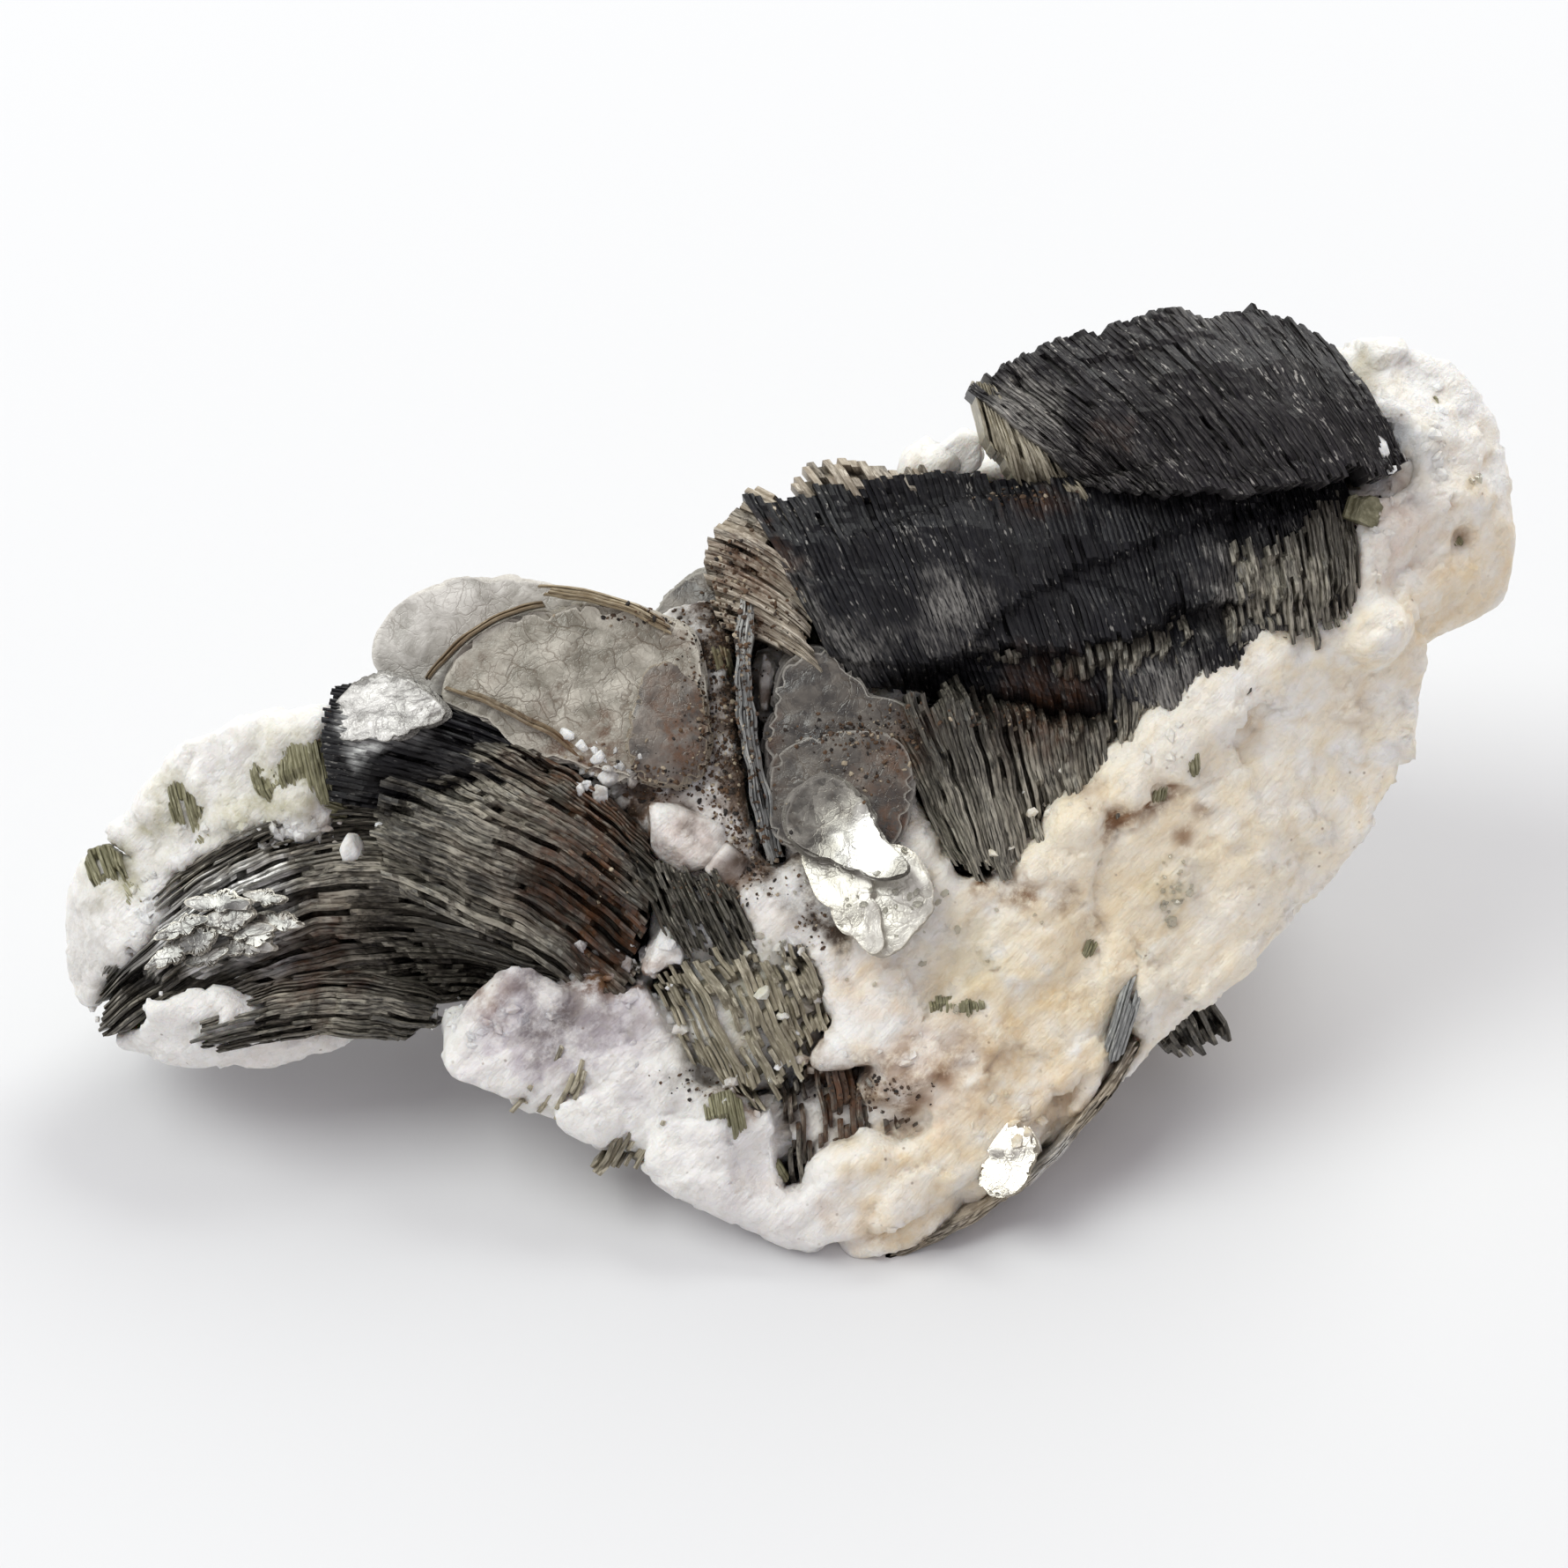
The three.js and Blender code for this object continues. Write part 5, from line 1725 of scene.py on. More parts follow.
@dataclass
class PlatePile:
    """Mica plates seen face-on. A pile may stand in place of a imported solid."""

    RINGS = 12
    AROUND = 96

    name: str
    slot: str
    layers: tuple[PlateLayer, ...]
    seed: int
    finish: Finish
    node: str | None = None

    def build(self) -> bpy.types.Object:
        """Builds and dresses the plates.

        Returns:
            The finished piece.
        """
        bm = bmesh.new()
        bm.verts.layers.float.new("rim")
        for number, layer in enumerate(self.layers):
            for sheet in range(layer.sheets):
                self._add_sheet(bm, layer, sheet, self.seed + 10 * number + sheet)
        bmesh.ops.recalc_face_normals(bm, faces=bm.faces)
        bmesh.ops.transform(bm, matrix=ON_FACE, verts=bm.verts)
        for face in bm.faces:
            face.smooth = True
        piece = new_piece(self.name, bm)
        mark_sharp(piece.data, 40.0)
        tint(piece.data, MICA_TINTS)
        self.finish.dress(piece, self.slot)
        if self.node is not None:
            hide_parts(self.node)
        return piece

    def _radius(self, layer: PlateLayer, middle: tuple[float, float]) -> Callable[[float], float]:
        """Reads an outline as a distance from its middle.

        Args:
            layer: The layer.
            middle: The point that the outline is seen from.

        Returns:
            A function that gives the distance to the outline in any direction.
        """
        found = sorted((math.atan2(y - middle[1], x - middle[0]), math.hypot(x - middle[0], y - middle[1])) for x, y in layer.outline)
        turns = np.array([t for t, _ in found])
        reaches = np.array([r for _, r in found])
        even = np.linspace(-math.pi, math.pi, 120, endpoint=False)
        drawn = np.interp(even, turns, reaches, period=math.tau)
        for _ in range(2):
            drawn = 0.5 * drawn + 0.25 * (np.roll(drawn, 1) + np.roll(drawn, -1))

        def reach(turn: float) -> float:
            """Returns the distance to the outline in one direction."""
            return float(np.interp(turn, even, drawn, period=math.tau))

        return reach

    def _add_sheet(self, bm: bmesh.types.BMesh, layer: PlateLayer, sheet: int, seed: int) -> None:
        """Adds one sheet of a layer.

        Args:
            bm: The shape, in face millimetres.
            layer: The layer.
            sheet: The sheet's number, from the top.
            seed: Start of its noise.
        """
        rim_layer = bm.verts.layers.float["rim"]
        xs = [x for x, _ in layer.outline]
        ys = [y for _, y in layer.outline]
        middle = (sum(xs) / len(xs), sum(ys) / len(ys))
        reach = self._radius(layer, middle)
        fine = 2 * self.RINGS if layer.crumple > 0.2 or layer.fold > 0 else self.RINGS
        rings = (fine, self.RINGS, 3)[min(sheet, 2)]
        girth = sum(math.hypot(x - middle[0], y - middle[1]) for x, y in layer.outline) / len(layer.outline)
        ragged = min(1.0, girth / 6.0)
        made = bmesh.ops.create_grid(bm, x_segments=self.AROUND, y_segments=rings, size=0.5)["verts"]
        thick = layer.thickness / layer.sheets
        top = -sheet * thick
        grown = layer.spread * sheet / max(layer.sheets - 1, 1) - 0.5 * layer.spread
        for vert in made:
            turn = math.tau * (vert.co.x + 0.5)
            out = math.sqrt(vert.co.y + 0.5)
            edge = reach(turn) + grown
            edge += 0.3 * ragged * noise.noise((2.2 * math.cos(turn), 2.2 * math.sin(turn), seed * 1.3))
            edge -= layer.chip * smoothstep(0.12, 0.3, noise.noise((6 * math.cos(turn), 6 * math.sin(turn), seed * 2.1)))
            dx = math.cos(turn) * edge * out
            dy = math.sin(turn) * edge * out
            wave = 0.16 * noise.noise((dx / 2.4, dy / 2.4, self.seed * 0.7)) + 0.05 * noise.noise((dx, dy, seed * 0.7))
            wave += layer.crumple * (noise.noise((dx / 1.9, dy / 1.4, seed * 0.4)) + 0.5 * abs(noise.noise((dx / 1.2, dy / 0.9, seed * 0.9))))
            if layer.fold > 0:
                spot = Vector((dx / 2.3, dy / 1.1, self.seed * 0.37))
                centre = noise.voronoi(spot)[1][0]
                wave += layer.fold * 1.6 * noise.noise_vector(centre * 3.7).dot(spot - centre)
            fall = layer.dome * (dx * dx + dy * dy) / (girth * girth)
            vert[rim_layer] = 1.0 if out > 0.97 else 0.0
            height = layer.height + layer.slope_x * dx + layer.slope_y * dy
            vert.co = Vector((middle[0] + dx, middle[1] + dy, height + top + wave - fall))
        bmesh.ops.remove_doubles(bm, verts=made, dist=1e-4)
        faces = list({f for v in made if v.is_valid for f in v.link_faces})
        raised = bmesh.ops.extrude_face_region(bm, geom=faces)["geom"]
        lower = [g for g in raised if isinstance(g, bmesh.types.BMVert)]
        bmesh.ops.translate(bm, vec=(0, 0, -0.92 * thick), verts=lower)


def plate_list(
    disc: Finish, dusky: Finish, back: Finish, silver: Finish, mirror: Finish, bright: Finish, streaky: Finish,
    smoky: Finish, crumpled: Finish
) -> list[PlatePile]:
    """Lists the specimen's plates.

    Args:
        disc: The finish of the front disc.
        dusky: The finish of the brown-grey sheets on the front disc.
        back: The finish of the back disc.
        silver: The finish of the bright folded plates.
        mirror: The finish of the grey even plates, which paints a near-white highlight where the silver tint lies.
        bright: The finish of the palest plates.
        streaky: The finish of the plate that catches the light in streaks.
        smoky: The finish of the dark grey plates.
        crumpled: The finish of the crumpled flakes.

    Returns:
        The plates, each with its sizes.
    """
    return [
        PlatePile(
            "front_disc_sheets", "pale_mica",
            (
                PlateLayer(
                    (
                        (-23, 5.3), (-22.6, 7.3), (-21.1, 9.5), (-18.8, 10.8), (-15.5, 11.5), (-11.7, 11.8),
                        (-8.5, 11.3), (-6, 10.2), (-5.4, 7.6), (-5.4, 3), (-8.8, 0.2), (-14, 1.4), (-19.3, 4.0),
                    ),
                    7.4, 0.04, -0.1, 2.0, 7, 0.3,
                ),
            ),
            201, disc, "front_disc",
        ),
        PlatePile(
            "front_disc_dark_sheets", "pale_mica",
            (
                PlateLayer(
                    (
                        (-9.0, 7.9), (-7.3, 8.4), (-5.8, 7.0), (-5.2, 4.7), (-5.0, 2.3), (-5.5, 0.3), (-7.6, -0.2), (-9.6, 0.3),
                        (-10.4, 1.7), (-10.2, 3.8), (-9.8, 5.8),
                    ),
                    8.5, -0.06, -0.1, 1.4, 6, 0.6, crumple=0.16,
                ),
            ),
            211, dusky,
        ),
        PlatePile(
            "back_disc_sheets", "pale_mica",
            (
                PlateLayer(
                    (
                        (-27.8, 8.3), (-27.6, 10.1), (-26.2, 12.0), (-23.6, 13.2), (-20, 13.7), (-17, 13.6),
                        (-14, 12.6), (-8, 11.4), (-8, 8), (-18, 5), (-24.6, 5.9),
                    ),
                    5.2, 0.05, -0.05, 1.3, 6, 0.5, 0.25, chip=0.15,
                ),
            ),
            221, back, "back_disc",
        ),
        PlatePile(
            "silver_book_peak", "silver_mica",
            (
                PlateLayer(
                    (
                        (0.2, 8.4), (1.6, 9.2), (2.7, 9.1), (4.0, 7.7), (5.8, 5.8), (8.6, 5), (9.6, 3), (8, -1),
                        (0, -2), (-1.2, 1.5), (-0.6, 5),
                    ),
                    8.7, -0.02, -0.12, 2.6, 6, 0.3, crumple=0.22,
                ),
            ),
            241, smoky, "silver_book",
        ),
        PlatePile(
            "silver_book_shelf", "silver_mica",
            (
                PlateLayer(
                    (
                        (-0.9, -3.3), (-1.1, -0.9), (-1.0, 1.2), (-0.5, 2.0), (0.9, 2.9), (3.0, 3.4), (5.1, 3.5),
                        (6.8, 3.4), (8.1, 2.6), (8.7, 0.6), (8.4, -1.7), (7.5, -4.0), (5.2, -5.5), (2.3, -5.2), (0.6, -4.3),
                    ),
                    9.8, 0.03, -0.05, 2.0, 6, 0.5, crumple=0.2,
                ),
            ),
            251, smoky,
        ),
        PlatePile(
            "silver_book_disc", "silver_mica",
            (
                PlateLayer(
                    (
                        (1.3, -4.5), (0.3, -3.5), (0.0, -2.0), (0.3, -0.8), (1.2, 0.1), (2.6, 0.7), (3.8, 0.3), (4.8, -0.6),
                        (5.7, -1.7), (6.1, -2.9), (6.6, -4.0), (7.8, -4.6), (8.2, -5.6), (6.8, -6.2), (4.8, -5.7), (3.0, -4.9),
                    ),
                    11.2, 0.25, -0.27, 1.4, 6, -0.5, chip=0.1,
                ),
            ),
            261, mirror,
        ),
        PlatePile(
            "silver_book_tongue", "silver_mica",
            (
                PlateLayer(
                    (
                        (2.6, -4.6), (4.8, -4.2), (6.4, -4.0), (7.9, -4.1), (9.1, -5.4), (9.7, -7.0), (9.7, -8.2), (9.2, -9.0),
                        (8.3, -9.8), (7.3, -11.0), (6.2, -11.4), (5.0, -10.0), (3.4, -7.8),
                    ),
                    11.3, 0.28, -0.26, 1.8, 7, 0.25, 0.2, chip=0.1, fold=0.03,
                ),
                PlateLayer(
                    (
                        (1.2, -4.3), (3.2, -4.3), (4.9, -5.0), (5.6, -7.4), (6.3, -9.4), (6.6, -10.6), (5.8, -11.2), (4.6, -9.9),
                        (3.2, -8.1), (1.8, -6.5),
                    ),
                    11.3, 0.22, -0.3, 0.9, 4, 0.15, 0.2, chip=0.0, fold=0.03,
                ),
            ),
            271, bright,
        ),
        PlatePile(
            "back_plate_sheets", "pale_mica",
            (
                PlateLayer(
                    ((-10, 9.5), (-8.8, 12), (-7.2, 13.8), (-5.4, 14.9), (-3, 15.6), (1, 15.5), (2, 11), (-2, 8)),
                    0.5, 0.1, -0.25, 2.4, 7, 0.2,
                ),
            ),
            281, smoky, "back_plate",
        ),
        PlatePile(
            "left_top_facet", "silver_mica",
            (
                PlateLayer(
                    (
                        (-30.5, 3.4), (-30.2, 4.9), (-29.2, 6.2), (-27.6, 7.2), (-26.0, 7.3), (-24.2, 6.6), (-22.8, 5.6),
                        (-21.9, 4.5), (-24.0, 3.7), (-27.2, 3.0),
                    ),
                    9.3, 0.36, -0.38, 2.2, 6, 0.5, chip=0.15,
                ),
            ),
            295, streaky,
        ),
        PlatePile(
            "left_crumpled_flakes", "silver_mica",
            (
                flake(-37.4, -7.9, 2.8, 0.44, -2, 8.6, 1),
                flake(-36.2, -9.5, 2.6, 0.5, -2, 8.5, 2),
                flake(-35.6, -10.7, 2.2, 0.6, 4, 8.4, 3),
                flake(-39.8, -9.4, 2.4, 0.42, 20, 8.1, 4),
                flake(-40.8, -11.3, 2.2, 0.45, 33, 7.5, 5),
                flake(-38.4, -11.5, 1.8, 0.42, 16, 7.9, 6),
                flake(-33.4, -9.1, 2.2, 0.42, -10, 8.5, 7),
                flake(-34.4, -7.5, 1.7, 0.36, -10, 8.5, 8),
                flake(-36.6, -8.8, 1.9, 0.9, 6, 8.8, 9),
                flake(-38.8, -10.4, 1.5, 0.9, 24, 8.4, 10),
                flake(-35.0, -9.9, 1.4, 0.8, -6, 8.7, 11),
            ),
            311, crumpled,
        ),
        PlatePile(
            "rim_mirror_facet", "silver_mica",
            (
                PlateLayer(
                    (
                        (13.0, -24.8), (13.6, -23.0), (14.6, -22.2), (15.7, -22.4), (16.6, -23.6), (16.2, -25.2),
                        (15.2, -26.8), (14.0, -27.2), (13.1, -26.4),
                    ),
                    9.9, 0.39, -0.35, 1.6, 4, 0.1, chip=0.2,
                ),
            ),
            321, silver,
        ),
    ]


def strip_list(stained: Finish, rim_stain: Finish) -> list[MicaBook]:
    """Lists the thin curved strips that edge the discs.

    Args:
        stained: The finish of the light strip.
        rim_stain: The finish of the brown strips.

    Returns:
        The strips, each with its sizes.
    """
    s = Station
    fray = Fray(run=2.4, step=0.25, packet_step=0.15, slab_step=0.1, packet=2, missing=0.16, gap=0.6, wave=0.2, ends=0.8, grow=0.0)
    return [
        MicaBook(
            None, "pale_mica",
            (s(-11.9, 11.8, -17, 4.4, 0.5, 8.1, 6), s(-11.6, 12.6, -17, 4.0, 0.5, 8.1, 6)),
            (-0.6, 0, 0, -0.4), 4, fray, 131, stained, "disc_top_strip",
        ),
        MicaBook(
            None, "pale_mica",
            (s(-20.3, 10.2, 32, 4.7, 1.0, 7.4, 5.5), s(-20.5, 10.6, 32, 4.7, 1.0, 7.0, 5.5)),
            (-0.6, 0, 0, -0.3), 2, fray, 137, rim_stain, "disc_left_strip",
        ),
        MicaBook(
            None, "pale_mica",
            (s(-17.8, 4.4, -27, 5.4, 0.6, 8.5, 6), s(-17.6, 4.9, -27, 5.2, 0.6, 8.2, 6)),
            (-1.2, 0, 0.2, -0.3), 2, fray, 139, rim_stain, "disc_lower_strip",
        ),
    ]


# --- small crystals and crumbs --------------------------------------------------------------------


@dataclass(frozen=True)
class CrystalSite:
    """A small book in the rock: its middle and size in face millimetres, and the angle its sheets run at."""

    x: float
    y: float
    length: float
    width: float
    angle: float
    proud: float = 0.5


FRONT_SITES = (
    CrystalSite(-31.8, 0.8, 4.8, 3.8, -78, 0.5),
    CrystalSite(-34.4, 0.4, 3.0, 2.2, -66, 0.4),
    CrystalSite(-40.0, -1.4, 3.8, 2.6, -75, 0.5),
    CrystalSite(-38.8, -3.6, 2.4, 1.6, -60, 0.2),
    CrystalSite(-45.6, -6.2, 4.4, 2.4, -66, 0.5),
    CrystalSite(-43.6, -7.6, 2.4, 1.4, -50, 0.2),
    CrystalSite(-38.9, -3.0, 1.8, 1.0, -80, 0.3),
    CrystalSite(-30.4, -1.6, 2.6, 1.2, -20, 0.5),
    CrystalSite(20.2, -10.0, 3.4, 1.4, -112, 0.35),
    CrystalSite(11.4, -14.6, 1.6, 3.6, -84, 0.35),
    CrystalSite(26.8, 1.6, 2.2, 0.9, -80, 0.2),
    CrystalSite(24.6, -0.4, 1.6, 1.2, -100, 0.2),
    CrystalSite(37.8, 27.0, 2.4, 1.4, -80, 0.3),
    CrystalSite(43.4, 25.6, 1.5, 0.8, -80, 0.2),
    CrystalSite(45.2, 16.2, 1.4, 0.8, -60, 0.2),
    CrystalSite(-3.8, -22.0, 3.6, 2.6, -80, 0.4),
    CrystalSite(-0.4, -25.6, 2.0, 0.9, -60, 0.3),
    CrystalSite(26.0, -16.6, 2.0, 1.2, -60, 0.5),
    CrystalSite(-8.6, 0.8, 2.2, 2.8, -86, 0.3),
)


class Ground:
    """What small grains fall on: the surfaces of finished pieces."""

    def __init__(self, carriers: Sequence[bpy.types.Object]) -> None:
        """Reads the surfaces.

        Args:
            carriers: The finished pieces.
        """
        self.outward = (ON_FACE.to_3x3() @ Vector((0, 0, 1))).normalized()
        self.trees = [
            BVHTree.FromPolygons([v.co.copy() for v in c.data.vertices], [tuple(p.vertices) for p in c.data.polygons])
            for c in carriers
        ]

    def below(self, x: float, y: float) -> Vector | None:
        """Finds what stands highest over the broken face at a place.

        Args:
            x: The place, in face millimetres.
            y: The place, in face millimetres.

        Returns:
            The highest point there, in metres over the table, or None where there is nothing.
        """
        start = ON_FACE @ Vector((x, y, 60))
        hits = [hit for hit in (tree.ray_cast(start, -self.outward)[0] for tree in self.trees) if hit is not None]
        return min(hits, key=lambda hit: (hit - start).length) if hits else None


class PocketCrystals:
    """Small greenish books of mica that sit in the rock, at the front and all round it."""

    def __init__(self, finish: Finish, rock: bpy.types.Object, seed: int = 301) -> None:
        """Keeps the rock that the crystals sit in.

        Args:
            finish: Their finish.
            rock: The finished rock.
            seed: Start of the random draws.
        """
        self.finish = finish
        self.ground = Ground([rock])
        self.random = random.Random(seed)

    def build(self) -> bpy.types.Object:
        """Builds and dresses the crystals.

        Returns:
            The finished piece.
        """
        bm = new_stack_mesh()
        for number, site in enumerate(FRONT_SITES):
            hit = self.ground.below(site.x, site.y)
            if hit is not None:
                self._add(bm, site, (OFF_FACE @ hit).z, number, ON_FACE)
        self._add_behind(bm)
        piece = new_piece("pocket_crystals", bm)
        tint(piece.data, MICA_TINTS)
        self.finish.dress(piece, "grey_mica")
        return piece

    def _add(self, bm: bmesh.types.BMesh, site: CrystalSite, height: float, number: int, placing: Matrix) -> None:
        """Adds one crystal.

        Args:
            bm: The shape.
            site: Where it lies.
            height: How high the rock stands there.
            number: Its number, which starts its random draws.
            placing: Carries the site's frame to metres over the table.
        """
        turn = math.radians(site.angle)
        across = Vector((-math.sin(turn), math.cos(turn)))
        front = height + site.proud
        stations = [
            Station(site.x + side * across.x * site.width / 2, site.y + side * across.y * site.width / 2, site.angle, half, 0.0, front, front - 2.2)
            for side, half in ((-1, 0.3 * site.length), (-0.4, 0.48 * site.length), (0.4, 0.5 * site.length), (1, 0.3 * site.length))
        ]
        fray = Fray(run=1.2, step=0.15, packet_step=0.25, packet=3, missing=0.06, gap=0.4, wave=0.15, ends=0.3, grow=0.0)
        stack = SheetStack(stations, (-0.5, 0, 0, -0.5), max(4, round(site.width / 0.22)), fray, 400 + number)
        stack.add_to(bm, placing, creased=False)

    def _add_behind(self, bm: bmesh.types.BMesh) -> None:
        """Adds crystals on the sides that the broken face doesn't show.

        Args:
            bm: The shape.
        """
        low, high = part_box("rock")
        middle = (low + high) / 2
        for number in range(34):
            turn = self.random.uniform(0, math.pi)
            way = Vector((math.cos(turn), math.sin(turn), self.random.uniform(-0.1, 0.7))).normalized()
            aim = middle + Vector((self.random.uniform(-0.036, 0.036), 0, self.random.uniform(-0.012, 0.012)))
            hit, normal, _, _ = self.ground.trees[0].ray_cast(aim + 0.2 * way, -way)
            length = self.random.uniform(1.4, 4.2)
            width = length * self.random.uniform(0.4, 0.9)
            angle = self.random.uniform(0, 180)
            if hit is None or hit.z < 3 * MM or normal.dot(way) < 0.2:
                continue
            side = normal.orthogonal().normalized()
            turned = Matrix((side, normal.cross(side), normal)).transposed().to_4x4()
            placing = Matrix.Translation(hit) @ turned @ Matrix.Scale(MM, 4)
            self._add(bm, CrystalSite(0, 0, length, width, angle, 0.3), 0.0, 60 + number, placing)


@dataclass(frozen=True)
class GrainZone:
    """A zone that grains cling in: its middle and half sizes in face millimetres, and how many there are."""

    x: float
    y: float
    half_x: float
    half_y: float
    count: int


IRON_ZONES = (
    GrainZone(-4.0, 9.0, 2.0, 4.0, 620),
    GrainZone(-3.8, 2.0, 2.2, 4.4, 620),
    GrainZone(-2.6, -4.4, 2.4, 2.4, 260),
    GrainZone(-8.0, 11.0, 4.0, 0.7, 60),
    GrainZone(-8.6, 0.0, 3.0, 1.4, 150),
    GrainZone(4.2, 3.2, 2.8, 1.0, 140),
    GrainZone(-12.2, 0.8, 2.4, 1.6, 40),
    GrainZone(-3.0, 14.6, 1.8, 2.0, 90),
    GrainZone(-0.6, 10.6, 2.2, 1.6, 60),
    GrainZone(7.4, 3.6, 1.8, 1.4, 90),
    GrainZone(6.0, 1.0, 2.0, 1.6, 50),
    GrainZone(-4.0, -6.6, 3.4, 1.0, 90),
    GrainZone(1.8, -9.2, 0.9, 1.4, 40),
    GrainZone(5.8, -20.2, 3.6, 1.0, 110),
    GrainZone(-5.2, -19.6, 2.4, 1.0, 40),
    GrainZone(15.6, 19.0, 2.4, 0.6, 50),
    GrainZone(14.0, 4.4, 5.0, 0.8, 80),
    GrainZone(-12.0, -6.0, 2.2, 3.6, 70),
)
PALE_ZONES = (
    GrainZone(-12.4, 1.0, 2.0, 2.0, 46),
    GrainZone(-10.6, -11.6, 2.6, 1.6, 40),
    GrainZone(-9.2, -15.0, 1.8, 2.8, 24),
    GrainZone(-0.6, -11.0, 3.0, 1.4, 24),
    GrainZone(1.8, -16.6, 3.4, 2.0, 16),
    GrainZone(6.4, -17.8, 4.0, 1.4, 24),
    GrainZone(-2.0, -20.4, 2.4, 1.6, 14),
    GrainZone(12.6, -5.4, 3.2, 1.2, 8),
    GrainZone(18.6, -1.6, 2.6, 1.6, 8),
    GrainZone(24.6, 2.6, 2.6, 1.2, 8),
    GrainZone(39.4, 16.4, 0.7, 3.4, 26),
    GrainZone(43.6, 22.6, 0.8, 3.0, 26),
    GrainZone(-19.6, -15.8, 4.0, 1.0, 50),
    GrainZone(-34.0, -3.0, 4.4, 1.0, 46),
    GrainZone(-43.4, -7.6, 1.6, 2.4, 30),
    GrainZone(15.0, -22.0, 3.0, 2.0, 24),
)
CLEAR_ZONES = (
    GrainZone(25.6, -7.0, 1.1, 2.0, 26),
    GrainZone(37.6, 27.0, 1.0, 1.0, 5),
    GrainZone(7.8, -7.4, 1.4, 1.4, 8),
    GrainZone(5.0, -7.0, 4.0, 3.0, 10),
    GrainZone(12.0, -10.0, 6.0, 4.0, 16),
    GrainZone(-0.6, -10.8, 2.0, 2.0, 12),
    GrainZone(46.2, 20.4, 0.4, 0.4, 3),
    GrainZone(-1.0, -16.0, 5.0, 4.0, 10),
)


@dataclass(frozen=True)
class GrainSizes:
    """Sizes of a kind of grain, in millimetres, and how uneven its corners are."""

    low: float
    high: float
    uneven: float = 0.3
    sunk: float = 0.0


class Grains:
    """Grains of one kind that cling to whatever stands in their zones."""

    def __init__(self, name: str, slot: str, zones: Sequence[GrainZone], sizes: GrainSizes, finish: Finish, seed: int) -> None:
        """Keeps what the grains are like.

        Args:
            name: The piece's name.
            slot: The record's material slot that they stand for.
            zones: Where they cling.
            sizes: How large they are.
            finish: Their finish.
            seed: Start of the random draws.
        """
        self.name = name
        self.slot = slot
        self.zones = zones
        self.sizes = sizes
        self.finish = finish
        self.random = random.Random(seed)

    def build(self, ground: Ground) -> bpy.types.Object:
        """Builds and dresses the grains.

        Args:
            ground: What they cling to.

        Returns:
            The finished piece.
        """
        shape = bmesh.new()
        bmesh.ops.create_icosphere(shape, subdivisions=1, radius=1.0)
        template = bpy.data.meshes.new("grain")
        shape.to_mesh(template)
        shape.free()
        corners = [v.co.copy() for v in template.vertices]
        bm = bmesh.new()
        layer = bm.verts.layers.float.new("tone")
        found: list[tuple[Vector, float]] = []
        for at in self._places(ground):
            placing = self._placing(at)
            tone = self.random.random()
            bm.from_mesh(template)
            for corner in corners:
                uneven = self.random.uniform(1 - self.sizes.uneven, 1 + self.sizes.uneven)
                found.append((placing @ (corner * uneven), tone))
        bpy.data.meshes.remove(template)
        for vert, (co, tone) in zip(bm.verts, found):
            vert.co = co
            vert[layer] = tone
        piece = new_piece(self.name, bm)
        tint(piece.data, ROCK_TINTS)
        self.finish.dress(piece, self.slot)
        return piece

    def _places(self, ground: Ground) -> Iterable[Vector]:
        """Finds where the grains sit.

        Args:
            ground: What they cling to.

        Yields:
            Each grain's middle, in metres over the table.
        """
        for zone in self.zones:
            for _ in range(zone.count):
                x = self.random.gauss(zone.x, zone.half_x * 0.6)
                y = self.random.gauss(zone.y, zone.half_y * 0.6)
                hit = ground.below(x, y)
                if hit is not None:
                    yield hit - ground.outward * self.sizes.sunk * MM

    def _placing(self, at: Vector) -> Matrix:
        """Draws a grain's size and turn.

        Args:
            at: Where it sits, in metres over the table.

        Returns:
            What carries a ball of radius one to the grain.
        """
        size = MM * mix(self.sizes.low, self.sizes.high, self.random.random() ** 2)
        squash = (self.random.uniform(0.6, 1.4), self.random.uniform(0.6, 1.4), self.random.uniform(0.45, 1.0))
        turn = Matrix.Rotation(self.random.uniform(0, math.tau), 4, "Z") @ Matrix.Rotation(self.random.uniform(0, math.tau), 4, "X")
        return Matrix.Translation(at) @ turn @ Matrix.Diagonal((*(size * s for s in squash), 1.0))


# --- rock -----------------------------------------------------------------------------------------


@dataclass(frozen=True)
class Swelling:
    """A rounded mass of rock that laps on the books: its middle and half sizes in face millimetres, and its
    turn."""

    x: float
    y: float
    z: float
    half_x: float
    half_y: float
    half_z: float
    turn: float = 0.0


